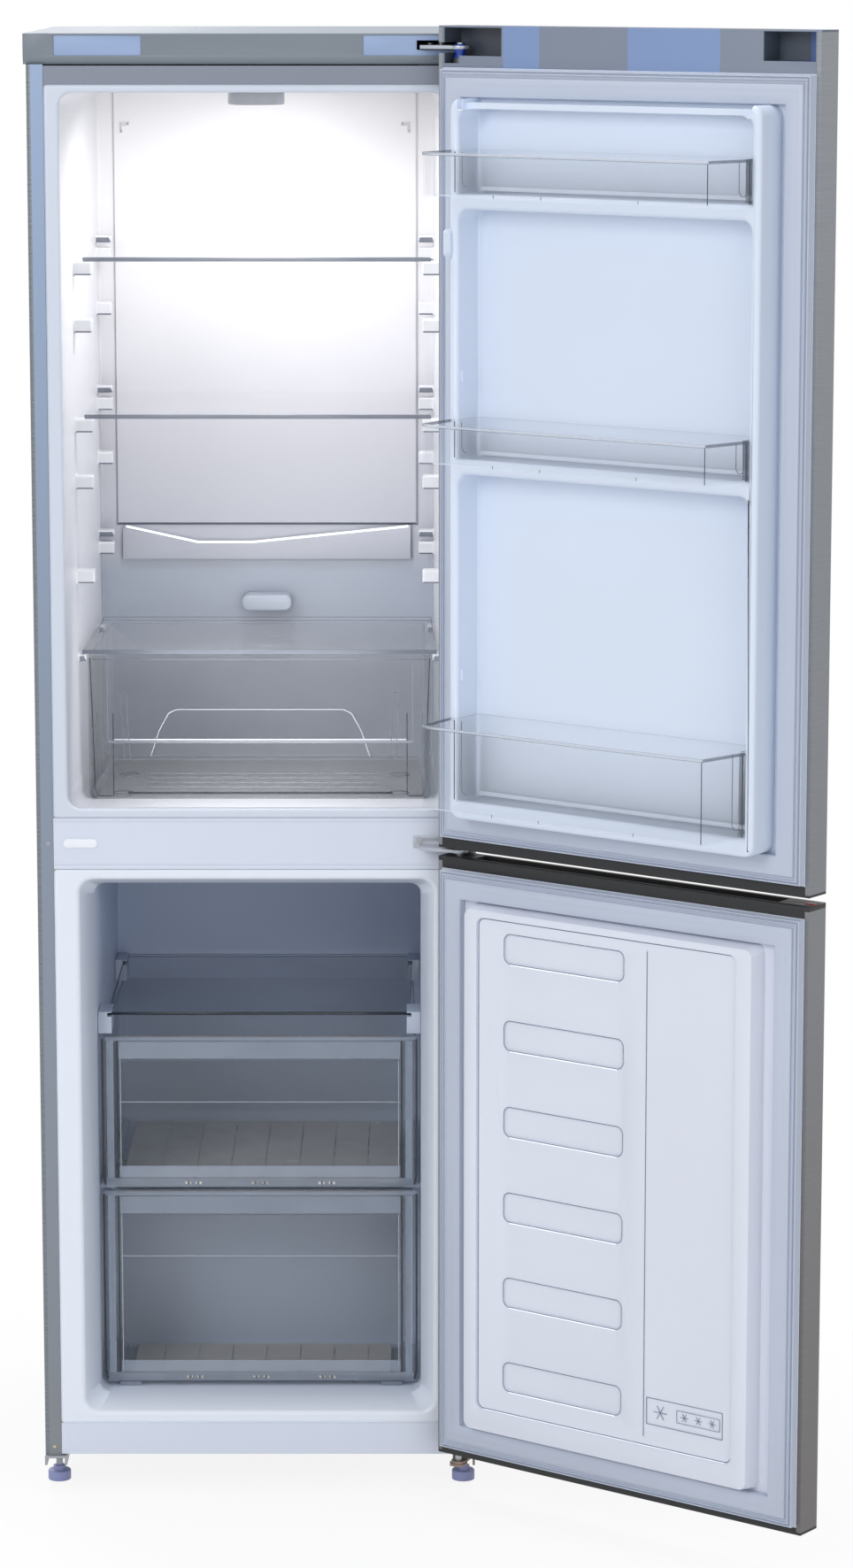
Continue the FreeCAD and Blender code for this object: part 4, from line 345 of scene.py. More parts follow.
def door_cap_with_painted_reflections():
    """Glossy top cap: two windows as painted blue reflections, and painted shade in its end pockets."""
    finish = Finish("door_cap_painted_reflections", srgb(130, 139, 154), 0.36)
    x, y, z = finish.axes()
    along = ((x - door_corner[0]) * door_along[0] + (y - door_corner[1]) * door_along[1]) / door_reach
    depth = (x - door_corner[0]) * door_inward[0] + (y - door_corner[1]) * door_inward[1]
    grey = srgb(124, 133, 149)
    # The blue fields along the cap's face are painted reflections of two windows.
    blue = srgb(124, 146, 186)
    face = finish.patches(along, [(0.0, grey), (0.172, blue), (0.27, grey), (0.507, blue), (0.743, grey)])
    # Painted shade in the pockets, with a painted blue reflection near the far end.
    pocket_painted_shade = [(0.0, srgb(66, 74, 86)), (0.5, srgb(74, 84, 98)), (0.93, srgb(78, 108, 166)),
                    (0.985, srgb(96, 104, 116))]
    shade = finish.patches(along, pocket_painted_shade)
    finish.set("Base Color", finish.mix(depth.above(cap_face_depth), shade, face))
    finish.grain(0.36, scale=900)
    return finish


def fridge_walls():
    """White, with painted shade: darker downwards, away from the lamp, most on the back wall and under the
    gutter.
    """
    finish = Finish("fridge_liner_white", srgb(224, 225, 228), 0.34)
    x, y, z = finish.axes()
    height = (z - liner_low) / (liner_high - liner_low) + finish.noise(4, 2) * 0.03 - 0.015
    # Painted shade: the side walls darken downwards, the back wall more, with a step under the gutter.
    side_painted_shade = [(0.0, srgb(208, 211, 218)), (1.0, srgb(230, 231, 234))]
    back_painted_shade = [(0.0, srgb(160, 167, 180)), (0.28, srgb(158, 166, 180)), (0.31, srgb(176, 180, 190)),
                  (0.5, srgb(196, 197, 204)), (0.72, srgb(226, 226, 230)), (1.0, srgb(240, 240, 241))]
    walls = finish.mix(y.below(liner_rim_depth), finish.ramp(height, side_painted_shade), srgb(206, 213, 226))
    tone = finish.mix(y.above(liner_back), walls, finish.ramp(height, back_painted_shade))
    facing = finish.parts(finish.node("ShaderNodeNewGeometry", {}, {}, "Normal"))
    # Painted shade on the lugs' undersides.
    lug_painted_shade = facing[2].below(downward) * z.below(lug_zone_top) * y.above(lug_zone_front)
    finish.set("Base Color", finish.mix(lug_painted_shade, tone, srgb(122, 128, 140)))
    finish.grain(0.34)
    return finish


def foot_finish():
    """A pale threaded stem over a blue pad."""
    pad_blue = srgb(140, 147, 190)
    finish = Finish("foot_stem_and_pad", pad_blue, 0.45)
    z = finish.axes()[2]
    finish.set("Base Color", finish.mix(z.above(pad_height), pad_blue, srgb(176, 180, 188)))
    finish.set("Roughness", 0.4 + finish.noise(700, 2) * 0.08)
    return finish


white_panel = plastic("white_satin_panel", srgb(214, 220, 234), 0.38)
cover_grey = plastic("cover_grey_plastic", srgb(122, 130, 140), 0.5, 1400, 0.00006)
insert_blue = plastic("insert_blue_grey", srgb(150, 170, 205), 0.42)
door_liner_white = plastic("door_liner_white", srgb(218, 228, 244), 0.36)
freezer_door_white = plastic("freezer_door_white", srgb(222, 226, 238), 0.36)
sensor_grey = plastic("sensor_cover_grey", srgb(176, 184, 197), 0.4)
cap_black = plastic("door_cap_black", srgb(24, 26, 29), 0.46, 1500, 0.00006)
# The door's top cap carries painted reflections and painted shade.
cap_painted_reflections = door_cap_with_painted_reflections()
gasket_grey = plastic("gasket_soft_grey", srgb(190, 198, 214), 0.62, 500, 0.00005, 0.05)
plug_white = plastic("mullion_plug_white", srgb(238, 242, 248), 0.36)
holder_white = plastic("shelf_holder_white", srgb(184, 193, 208), 0.4)
plug_red = plastic("plug_red", srgb(165, 8, 10), 0.35)
bush_blue = plastic("bush_blue", srgb(10, 62, 170), 0.35)
foot_blue = foot_finish()
roller_grey = plastic("roller_grey", srgb(70, 72, 78), 0.5)
black_plastic = plastic("black_moulding", srgb(32, 33, 36), 0.45)
mount_rubber = plastic("mount_rubber", srgb(28, 28, 30), 0.75)
hose_grey = plastic("hose_grey", srgb(150, 153, 158), 0.6)
board_green = plastic("board_green", srgb(32, 92, 58), 0.4)
lamp_milk = plastic("lamp_frosted", srgb(176, 180, 186), 0.3)
foam_cream = plastic("foam_cream", srgb(225, 212, 165), 0.85, 260, 0.0008, 0.08)
fridge_liner_white = fridge_walls()
# Painted shade: the freezer liner darkens and turns bluer towards its back.
freezer_depth_painted_shade = [(0.0, srgb(226, 232, 242)), (0.12, srgb(214, 222, 236)), (0.35, srgb(188, 200, 222)),
                       (1.0, srgb(182, 195, 218))]
freezer_liner_white = graded_painted_shade("freezer_liner_white", 1, 0.0, 0.46, freezer_depth_painted_shade, 0.34)
print("plastics:", len(bpy.data.materials))

# %% [markdown]
# The steel skin is brushed: long fine scratches run one way, so a highlight spreads across them. Stretching
# a noise along one axis makes such scratches, and the same noise drives both the tone and the roughness.


# %% Metal finishes
skin_bottom = 0.05
side_height = 1.74
door_height = 1.78
flange_depth = 0.0012
flange_outer = 0.2668


def brushed(name, color, stretch, roughness=0.34, metallic=0.85, contrast=0.16):
    finish = Finish(name, color, roughness, Metallic=metallic)
    lines = finish.noise(60, 4, stretch)
    patch = finish.noise(2, 2)
    pale = tuple(min(1, c * (1 + contrast)) for c in color[:3]) + (1,)
    dark = tuple(c * (1 - contrast) for c in color[:3]) + (1,)
    finish.set("Base Color", finish.mix(lines * 0.7 + patch * 0.3, dark, pale))
    finish.set("Roughness", roughness - 0.06 + lines * 0.14)
    finish.bump(lines, 0.12, 0.00008)
    return finish


def painted(name, color, roughness=0.35, metallic=0.1):
    finish = Finish(name, color, roughness, Metallic=metallic)
    dark = tuple(c * 0.92 for c in color[:3]) + (1,)
    finish.set("Base Color", finish.mix(finish.noise(5, 2), color, dark))
    finish.grain(roughness, scale=420, strength=0.15, depth=0.00005)
    return finish


def side_steel():
    """The side panel: brushed on its side, bluish paint on the flange that folds in across the front."""
    finish = Finish("side_brushed_steel", srgb(120, 128, 134), 0.36, Metallic=0.7)
    x, y, z = finish.axes()
    flange = y.below(flange_depth) * x.absolute().below(flange_outer)
    lines = finish.noise(60, 4, (0.06, 0.06, 6))
    steel = finish.mix(lines, srgb(78, 84, 90), srgb(150, 157, 164))
    height = (z - skin_bottom) / side_height
    # The flange is drawn greyer and darker towards the floor, paler and bluer towards the top.
    flange_height_tones = [(0.0, srgb(128, 132, 138)), (0.55, srgb(134, 146, 164)), (1.0, srgb(150, 170, 200))]
    finish.set("Base Color", finish.mix(flange, steel, finish.ramp(height, flange_height_tones)))
    finish.set("Metallic", 0.7 - flange * 0.6)
    finish.set("Roughness", 0.3 + lines * 0.12)
    finish.bump(lines, 0.1, 0.00008)
    return finish


def door_skin_steel():
    """The door's skin, brushed across, a little warmer and darker towards the floor."""
    finish = Finish("door_brushed_steel", srgb(140, 144, 149), 0.36, Metallic=0.6)
    height = (finish.axes()[2] - skin_bottom) / door_height
    lines = finish.noise(60, 4, (0.3, 0.3, 14))
    dark = [(0.0, srgb(98, 95, 94)), (0.45, srgb(118, 120, 124)), (1.0, srgb(132, 136, 142))]
    pale = [(0.0, srgb(120, 117, 116)), (0.45, srgb(138, 141, 146)), (1.0, srgb(156, 160, 166))]
    finish.set("Base Color", finish.mix(lines, finish.ramp(height, dark), finish.ramp(height, pale)))
    finish.set("Roughness", 0.3 + lines * 0.14)
    finish.bump(lines, 0.12, 0.00008)
    return finish


side_finish = side_steel()
door_steel = door_skin_steel()
pin_steel = brushed("pin_turned_steel", srgb(168, 171, 176), (1, 1, 30), 0.28, 0.95)
screw_steel = brushed("screw_zinc", srgb(160, 164, 170), (1, 1, 1), 0.3, 0.95)
galvanised = brushed("galvanised_sheet", srgb(160, 163, 168), (0.15, 0.15, 0.15), 0.42, 0.8, 0.22)
hinge_paint = painted("hinge_grey_paint", srgb(176, 181, 191), 0.36, 0.4)
bracket_brown = painted("bracket_brown_zinc", srgb(145, 128, 118), 0.4, 0.5)
rail_grey = painted("rail_grey_paint", srgb(130, 136, 150), 0.4, 0.2)
compressor_black = painted("compressor_gloss_black", srgb(26, 27, 30), 0.22, 0.1)
condenser_black = painted("condenser_black", srgb(30, 31, 34), 0.4, 0.2)
copper = brushed("copper_tube", srgb(196, 128, 92), (1, 1, 12), 0.3, 0.95)
aluminium = brushed("evaporator_aluminium", srgb(206, 208, 212), (1, 1, 14), 0.35, 0.9)
print("finishes:", len(bpy.data.materials))

# %% [markdown]
# Clear mouldings and glass are mostly seen through. A shader that refracts every ray is slow and grainy in
# thin walls, so these let most light straight through by their alpha and grow denser where the surface
# turns away from the viewer, which is what makes the edges of a clear tray look dark.


# %% Clear finishes
edge_blend = 0.14


def clear(name, color, body, rim, roughness=0.06):
    """body is how much a wall hides face on, rim how much more it hides edge on."""
    finish = Finish(name, color, roughness)
    finish.set("Specular IOR Level", 0.8)
    facing = finish.node("ShaderNodeLayerWeight", {}, {"Blend": edge_blend}, "Facing")
    cloud = finish.noise(9, 2)
    finish.set("Alpha", facing * rim + body - 0.01 + cloud * 0.02)
    finish.set("Roughness", roughness + cloud * 0.04)
    return finish


def edge_line(name, color, density):
    """A thin line: a clear wall's edge, a painted highlight where light inside a wall leaves its rim, or
    painted shade.
    """
    finish = Finish(name, color, 0.25)
    cloud = finish.noise(30, 2)
    finish.set("Alpha", density - 0.08 + cloud * 0.16)
    finish.set("Roughness", 0.2 + cloud * 0.1)
    return finish


shelf_glass = clear("shelf_glass", srgb(214, 220, 226), 0.02, 0.08)
cover_glass = clear("crisper_cover_glass", srgb(196, 204, 216), 0.05, 0.3)
freezer_glass = clear("freezer_glass", srgb(112, 130, 152), 0.08, 0.4)
crisper_clear = clear("crisper_clear", srgb(206, 212, 220), 0.03, 0.34)
freezer_clear = clear("freezer_clear", srgb(190, 200, 212), 0.04, 0.36)
bin_clear = clear("bin_clear", srgb(226, 237, 252), 0.02, 0.15)
glass_edge = edge_line("glass_edge", srgb(112, 118, 130), 0.92)
dark_edge = edge_line("freezer_glass_edge", srgb(26, 32, 40), 0.9)
crisper_edge = edge_line("crisper_edge", srgb(156, 160, 168), 0.6)
drawer_edge = edge_line("freezer_drawer_edge", srgb(150, 160, 176), 0.6)
bin_edge = edge_line("bin_edge", srgb(84, 94, 112), 0.7)
line_finishes = {
    # pale and bright lines are painted highlights, shade lines painted shade.
    "pale": edge_line("pale_painted_highlight", srgb(226, 233, 244), 0.8),
    "dark": edge_line("dark_line", srgb(44, 48, 56), 0.88),
    "grey": edge_line("grey_line", srgb(112, 120, 132), 0.8),
    "band": edge_line("soft_band", srgb(186, 198, 216), 0.3),
    "rail": edge_line("foot_rail", srgb(120, 118, 114), 0.72),
    "bright": edge_line("painted_highlight_line", srgb(250, 252, 255), 0.9),
    "lip": edge_line("warm_lip", srgb(140, 126, 116), 0.85),
    "warm": edge_line("warm_floor", srgb(208, 204, 200), 0.6),
    "shade": edge_line("fold_shade", srgb(132, 142, 166), 0.5),
    "faint": edge_line("faint_line", srgb(214, 220, 230), 0.42),
}
# The bright lines glow a little, as painted highlights.
line_finishes["bright"].set("Emission Color", (0.85, 0.9, 1.0, 1))
line_finishes["bright"].set("Emission Strength", 0.35)
line_names = list(line_finishes)
print("finishes:", len(bpy.data.materials))

# %% [markdown]
# Every node of the frame takes its finish here. A node that is remade further down hands its finish on.

# %% Give each node its finish
finish_groups = [
    (side_finish, "side_panel_left side_panel_right"), (galvanised, "back_panel base_frame"),
    (rail_grey, "top_panel"), (white_panel, "plinth mullion_panel"), (cover_grey, "top_cover"),
    (insert_blue, "top_cover_inserts"), (plug_white, "mullion_plug"),
    (hinge_paint, "top_hinge_plate middle_hinge_bracket"), (bracket_brown, "lower_hinge_bracket"),
    (bush_blue, "top_hinge_bush"), (pin_steel, "hinge_pins"), (screw_steel, "cabinet_screws"),
    (fridge_liner_white, "fridge_liner drip_gutter"), (freezer_liner_white, "freezer_liner"),
    (lamp_milk, "interior_lamp"), (sensor_grey, "sensor_cover"), (holder_white, "freezer_shelf_holders"),
    (foam_cream, "cabinet_insulation fridge_door_insulation freezer_door_insulation"),
    (condenser_black, "condenser"), (compressor_black, "compressor"), (mount_rubber, "compressor_mounts"),
    (black_plastic, "evaporation_tray power_inlet"), (hose_grey, "drain_hose"),
    (copper, "filter_drier refrigerant_pipes"), (aluminium, "evaporator_plates"),
    (board_green, "control_board"), (door_steel, "fridge_door_skin freezer_door_skin"),
    (cap_painted_reflections, "fridge_door_top_cap"), (plug_red, "freezer_cap_plug"),
    (cap_black, "fridge_door_bottom_cap freezer_door_top_cap freezer_door_bottom_cap"),
    (gasket_grey, "fridge_door_gasket freezer_door_gasket"), (door_liner_white, "fridge_door_liner"),
    (freezer_door_white, "freezer_door_liner"), (shelf_glass, "glass_shelf_upper glass_shelf_lower"),
    (cover_glass, "crisper_glass"), (crisper_clear, "crisper_drawer"),
    (freezer_glass, "freezer_glass_shelf"),
    (freezer_clear, "freezer_drawer_upper freezer_drawer_lower"),
    (bin_clear, "door_bin_upper door_bin_middle door_bin_lower"),
    (foot_blue, "front_foot_left front_foot_right"), (roller_grey, "rear_roller_left rear_roller_right"),
]
node_finish = {node: finish for finish, members in finish_groups for node in members.split()}
for node, finish in node_finish.items():
    for material_slot in nodes[node].material_slots:
        material_slot.material = finish.material
print(len(node_finish), "nodes finished")

# %% [markdown]
# A clear moulding is read by its lines: the dark ones where its walls turn, the pale ones painted
# highlights where light leaves a rim. They are laid on as bars 0.4 mm thick, from short tables of a finish,
# a width and the points to pass through. Three functions say where a point lies, on an upright face, on a
# level one or on the open door, and the tables start from the size of the node that they belong to. All
# lengths here are in millimetres.


# %% Places and lines
millimetre = 0.001
line_thickness = 0.4
bar_sides = ((0, 1), (1, 2), (2, 3), (3, 0))
first_line_slot = 2


def on_front(a, depth, b):
    """A point of an upright face: a runs right, b up, depth into the cabinet."""
    return (a * millimetre, depth * millimetre, b * millimetre)


def on_floor(a, lift, b):
    """A point of a level face: a runs right, b into the cabinet, lift up."""
    return (a * millimetre, b * millimetre, lift * millimetre)


def on_door(a, depth, b):
    """A point over the open door: a runs from its hinge edge, b up, depth away from its inner face."""
    a, depth, b = a * millimetre, depth * millimetre, b * millimetre
    return (door_corner[0] + a * door_along[0] + depth * door_inward[0],
            door_corner[1] + a * door_along[1] + depth * door_inward[1], b)


def door_depth(point):
    """How far a point stands in from the open door's inner face, and how far along the door it is."""
    across = point.x - door_corner[0]
    ahead = point.y - door_corner[1]
    depth = across * door_inward[0] + ahead * door_inward[1]
    along = across * door_along[0] + ahead * door_along[1]
    return depth, along


def box_of(node):
    """The lowest and the highest corner of a node: right, into the cabinet, up."""
    return [[value / millimetre for value in corner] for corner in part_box(node)]


def door_box_of(node):
    """The lowest and the highest corner of a node on a door: along it, away from it, up."""
    here = nodes[node].matrix_world
    corners = [here @ vert.co for vert in nodes[node].data.vertices]
    places = [(door_depth(corner)[1], door_depth(corner)[0], corner.z) for corner in corners]
    return [[limit(values) / millimetre for values in zip(*places)] for limit in (min, max)]


def add_line(mesh, place, points, width, kind, depth=0.0):
    """A thin raised bar through some points of a face, in one of the line finishes."""
    for (a0, b0), (a1, b1) in zip(points, points[1:]):
        length = math.hypot(a1 - a0, b1 - b0)
        side = ((b0 - b1) / length * width / 2, (a1 - a0) / length * width / 2)
        plan = [(a0 + side[0], b0 + side[1]), (a1 + side[0], b1 + side[1]), (a1 - side[0], b1 - side[1]),
                (a0 - side[0], b0 - side[1])]
        near = [mesh.verts.new(place(a, depth, b)) for a, b in plan]
        far = [mesh.verts.new(place(a, depth + line_thickness, b)) for a, b in plan]
        faces = [near, list(reversed(far))]
        faces += [[near[j], near[i], far[i], far[j]] for i, j in bar_sides]
        bars = [mesh.faces.new(corners) for corners in faces]
        for face in bars:
            face.material_index = first_line_slot + line_names.index(kind)
        bmesh.ops.recalc_face_normals(mesh, faces=bars)


def add_lines(data, lines):
    """Lay every row of a table on a finished mesh."""
    lined = bmesh.new()
    lined.from_mesh(data)
    for place, depth, rows in lines:
        for kind, width, points in rows:
            add_line(lined, place, points, width, kind, depth)
    lined.to_mesh(data)
    lined.free()


def both_sides(rows):
    """The same rows again, mirrored left to right."""
    return rows + [(kind, width, [(-a, b) for a, b in points]) for kind, width, points in rows]


def level(kind, width, reach, height):
    """One level row across the middle."""
    return (kind, width, [(-reach, height), (reach, height)])


def upright(kind, width, a, low, high):
    """One upright row."""
    return (kind, width, [(a, low), (a, high)])


def ring(x, y, radius, count=18):
    turns = [math.tau * i / count for i in range(count + 1)]
    return [(x + radius * math.cos(turn), y + radius * math.sin(turn)) for turn in turns]


def rounded(a0, a1, b0, b1, radius, steps=5):
    """A closed outline with rounded corners, anticlockwise from the left foot."""
    points = []
    for a, b, start in ((a1 - radius, b0 + radius, -1), (a1 - radius, b1 - radius, 0),
                        (a0 + radius, b1 - radius, 1), (a0 + radius, b0 + radius, 2)):
        for i in range(steps + 1):
            turn = (start + i / steps) * math.pi / 2
            points.append((a + radius * math.cos(turn), b + radius * math.sin(turn)))
    return points + points[:1]


print("lines in", len(line_names), "finishes")

# %% [markdown]
# The solids arrive with knife-sharp edges. Real sheet and mouldings have a small radius that catches the
# light, so most nodes are remade as a softened copy: the triangles are merged, flat faces are joined again
# and a bevel runs along every sharp edge. A bevel face can take a finish of its own, which is how the edges
# of the clear mouldings become visible as lines.


# %% Softened copies
merge_distance = 0.00002
flat_angle = math.radians(1)
sharp_angle = math.radians(28)
own_finish = -1
most_corners = 4


def copied(node):
    """The node's own mesh in room measures, with its doubled points merged and its flat faces joined."""
    mesh = bmesh.new()
    mesh.from_mesh(nodes[node].data)
    mesh.transform(nodes[node].matrix_world)
    bmesh.ops.remove_doubles(mesh, verts=mesh.verts, dist=merge_distance)
    bmesh.ops.dissolve_limit(mesh, angle_limit=flat_angle, verts=mesh.verts, edges=mesh.edges)
    return mesh


def body_of_node(node):
    for body, members in frame["record"]["behaviour"]["bodies"].items():
        if node in members:
            return body
    return None


def mark_radii(mesh, widest, radius_of):
    """Give each sharp edge the radius that a rule names, as a share of the widest one."""
    layer = mesh.edges.layers.float.new("bevel_weight_edge")
    for edge in mesh.edges:
        if len(edge.link_faces) == 2 and edge.calc_face_angle(0) > sharp_angle:
            middle = (edge.verts[0].co + edge.verts[1].co) / 2
            edge[layer] = min(1, radius_of(middle) / widest)
            edge.smooth = False


def soften_edges(dressed, width, steps, limit, edge_finish, by_mark):
    """Round the edges that are sharp, or that carry a mark, and keep the result as a plain mesh."""
    bevel = dressed.modifiers.new("soft_edges", "BEVEL")
    bevel.width = width
    bevel.segments = steps
    bevel.limit_method = "WEIGHT" if by_mark else "ANGLE"
    bevel.angle_limit = math.radians(limit)
    bevel.material = edge_finish
    bevel.harden_normals = not by_mark
    bevel.use_clamp_overlap = not by_mark
    if by_mark:
        dressed.modifiers.new("flat_faces", "WEIGHTED_NORMAL").keep_sharp = True
        plain = dressed.modifiers.new("plain_faces", "TRIANGULATE")
        plain.min_vertices = most_corners + 1
        plain.ngon_method = "CLIP"
        plain.keep_custom_normals = True
    dressed.data = bpy.data.meshes.new_from_object(
        dressed.evaluated_get(bpy.context.evaluated_depsgraph_get()))
    dressed.modifiers.clear()


def stand_for(node, mesh, finishes, soften=0.0, steps=2, edge_finish=own_finish, limit=35, by_mark=False,
              lines=()):
    """Make an object from a mesh that stands for a node and rides on its body."""
    data = bpy.data.meshes.new(node + "_dressed")
    mesh.normal_update()
    mesh.to_mesh(data)
    mesh.free()
    for finish in finishes:
        data.materials.append(finish.material)
    for polygon in data.polygons:
        polygon.use_smooth = True
    dressed = bpy.data.objects.new(node + "_dressed", data)
    bpy.context.collection.objects.link(dressed)
    if soften:
        soften_edges(dressed, soften, steps, limit, edge_finish, by_mark)
    else:
        dressed.data.set_sharp_from_angle(angle=math.radians(limit))
    if lines:
        add_lines(dressed.data, lines)
    dressed.data.name = node + "_dressed"
    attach(dressed, body_of_node(node))
    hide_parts(node)
    return dressed


# The radius of each softened node's edges, in metres.
soft_nodes = {
    "top_cover": 0.0012, "fridge_door_top_cap": 0.0008, "freezer_door_top_cap": 0.0006,
    "fridge_door_bottom_cap": 0.0005, "freezer_door_bottom_cap": 0.0006, "top_hinge_plate": 0.0006,
    "lower_hinge_bracket": 0.0005, "middle_hinge_bracket": 0.0003, "sensor_cover": 0.003,
    "interior_lamp": 0.002, "freezer_shelf_holders": 0.0012, "evaporation_tray": 0.0008,
    "compressor": 0.0008, "base_frame": 0.0003, "front_foot_left": 0.0005, "front_foot_right": 0.0005,
    "mullion_plug": 0.0006, "freezer_cap_plug": 0.0003, "top_cover_inserts": 0.0003,
}
for node, width in soft_nodes.items():
    stand_for(node, copied(node), [node_finish[node]], width)
print(len(soft_nodes), "softened nodes")

# %% [markdown]
# The freezer drawers show most lines. Each front has a dark lip, a frosted band under it, the far rim seen
# through the wall, side posts with a painted glint, and a rail along the foot whose slots catch the light
# as painted highlights. Ribs run back over the floor, each with a painted highlight.


# %% Lines of the freezer drawers
drawer_line_gap = 0.1
drawer_foot = 5.4
drawer_floor_rise = 3.5
rib_pitch = 44
ribs_a_side = 3
slot_places = (-84.5, 0, 84.5)
slot_height = 3.6
# How far each drawer's floor stops before the back wall and before the side walls.
upper_floor_margins = (15, 23.8)
lower_floor_margins = (17, 34.8)


def drawer_front(low, high, half):
    """Side posts with a painted glint, lip, bands, foot rail and painted slot highlights of a drawer's
    front between two levels.
    """
    outside, post, post_painted_glint, post_seam, post_band = half - 1.4, half - 20, half - 24, half - 5, half - 11
    shoulder, inner, sill = high - 4, half - 22, low + 12
    rows = both_sides([
        upright("dark", 1.9, post, high - 1, low + 1),
        upright("faint", 1.0, post_painted_glint, high - 7, low + 14),
        ("dark", 2.4, [(outside, shoulder), (outside, low + 16), (half - 4, low + 4)]),
        upright("grey", 0.8, post_seam, shoulder, sill),
        upright("band", 9.0, post_band, shoulder, sill),
    ])
    rows += [level("lip", 1.5, inner, high - 1.2), level("grey", 1.0, inner, high - 31),
             level("band", 22.0, inner, high - 18), level("faint", 0.9, inner, high - 85),
             level("band", 15.0, inner, low + 21), level("rail", 9.0, inner, low + 7.6),
             level("dark", 2.0, inner + 4, low + 1.2)]
    # Painted highlights: the slots glow in the bright line finish.
    slot_level = low + 6.4
    for middle in slot_places:
        for side in (-1, 1):
            for near, far in ((7.5, 10.5), (2.6, 4.4)):
                ends = [(middle + side * near, slot_level), (middle + side * far, slot_level)]
                rows.append(("bright", slot_height, ends))
    return rows


def drawer_floor(back, half):
    """The floor in a warmer grey, with a painted highlight along each rib and a bright painted highlight
    before it.
    """
    floor_front, tip, rib_start, rib_end = 84, 80, 88, back - 8
    edge, tip_half = 3.4, 2.5
    rows = [("warm", half * 2, [(0, floor_front), (0, back)])]
    for i in range(-ribs_a_side, ribs_a_side + 1):
        rib = i * rib_pitch
        # Painted highlights along each rib's edge and at its tip.
        rows.append(upright("faint", 1.6, rib + edge, rib_start, rib_end))
        rows.append(("bright", 3.0, [(rib - tip_half, tip), (rib + tip_half, tip)]))
    return rows


def drawer_lines(node, foot, back_margin, side_margin):
    """The front and the floor of a drawer that stands on feet of some height."""
    (_, front, low), (right, back, high) = box_of(node)
    base = low + foot
    return [(on_front, front + drawer_line_gap, drawer_front(base, high, right)),
            (on_floor, base + drawer_floor_rise, drawer_floor(back - back_margin, right - side_margin))]


# %% [markdown]
# A door bin has a dark line at each corner, a painted highlight along its foot and, at each end, the loop
# of the hook that hangs it on the door. Its marks are measured from the hinge end.


# %% Lines of the door bins
bin_front_depth = 118.6
hook_depth = 50
bin_corner_depth = 51.5
bin_foot_depth = 10
bin_nicks = (168, 236, 372)


def bin_lines(node):
    """The lines of one bin, each table with its distance from the door."""
    low, high = (corner[2] for corner in door_box_of(node))
    hinge_post, far_post, front_start, front_end = 62.5, 479, 82, 466
    corners = [upright("dark", 1.1, a, low + 2, high - 2) for a in (hinge_post, far_post)]
    loop_top, loop_turn, loop_foot = high - 3, low + 14, low + 9
    hooks = [("grey", 1.0, [(464, loop_top), (464, loop_turn), (467, loop_foot), (472, loop_foot),
                            (474.5, loop_turn), (474.5, loop_top)]),
             ("grey", 1.0, [(72, loop_top), (72, loop_turn), (76, loop_foot), (80, loop_foot)])]
    # The pale lines along the front's top and foot are painted highlights.
    front = [upright("dark", 1.0, front_end + 0.5, low + 2, loop_top),
             ("pale", 1.4, [(front_start, high - 2), (front_end, high - 2)]),
             ("pale", 1.2, [(front_start, low + 2), (front_end, low + 2)])]
    front += [upright("dark", 0.9, a, low + 0.5, low + 4) for a in bin_nicks]
    # A painted highlight along the bin's foot.
    foot = [("pale", 5.0, [(70, low + 5), (470, low + 5)])]
    return [(on_door, bin_front_depth, front), (on_door, hook_depth, hooks),
            (on_door, bin_corner_depth, corners), (on_door, bin_foot_depth, foot)]


# %% [markdown]
# The crisper drawer tapers to its foot. Through its front wall one sees the side walls' folds, a pale ridge
# across the back, drawn as a painted highlight, and four shallow rings in its floor. The mouldings' folds
# get a painted shadow on their rim and a painted highlight below.


# %% Lines of the crisper, the freezer door and the gutter
crisper_wall = 1.2
crisper_floor_rise = 3.4
crisper_ring_radius = 12.5
crisper_ring_places = [(x, y) for x in (-176, 176) for y in (186, 322)]
door_face_depth = 21.02
bar_count = 6
bar_pitch = 108.1
bar_ends = (116, 293)
bar_height = 37
first_bar_top = 745.5
fold_radius = 9
door_hollow = (77.5, 453.5, 139.5, 760.5)
door_divider = 326.6
star_frame = (331, 441, 166.4, 199.6)
small_star_frame = (375, 437, 175.5, 191)
gutter_standoff = 0.5


def crisper_lines():
    """Folds of the walls, ridge, foot and rings of the crisper drawer."""
    (_, front, low), (right, back, high) = box_of("crisper_drawer")
    foot = low + 3.7
    slope_top, slope_foot = (right - 47, high - 47), (right - 52, high - 134)
    slope_wide = (right - 40, high - 47)
    slope_wide_foot = (right - 45, high - 134)
    rows = both_sides([
        ("dark", 1.3, [(right - 2, high - 3), (right - 4.6, high - 78), (right - 7, low + 13.7),
                       (right - 11, foot), (right - 29, foot - 0.4)]),
        upright("dark", 1.2, right - 30.6, foot, high - 74),
        ("grey", 1.0, [slope_top, slope_foot]), ("grey", 1.0, [slope_wide, slope_wide_foot]),
        ("grey", 1.0, [slope_top, slope_wide]),
        ("grey", 1.0, [(right - 10.5, high - 74), (right - 14, low + 22.7)]),
        ("faint", 1.0, [(106, 977), (116, 972), (128, 950), (139, 917)]),
    ])
    rows += [level("pale", 1.4, 185.5, 938.4), level("dark", 3.0, 168, low + 7.3),
             level("grey", 1.2, right - 5, high - 5), level("faint", 0.8, 106, 977)]
    rings = [("grey", 1.2, ring(x, y, crisper_ring_radius)) for x, y in crisper_ring_places]
    return [(on_front, front + crisper_wall, rows), (on_floor, low + crisper_floor_rise, rings)]


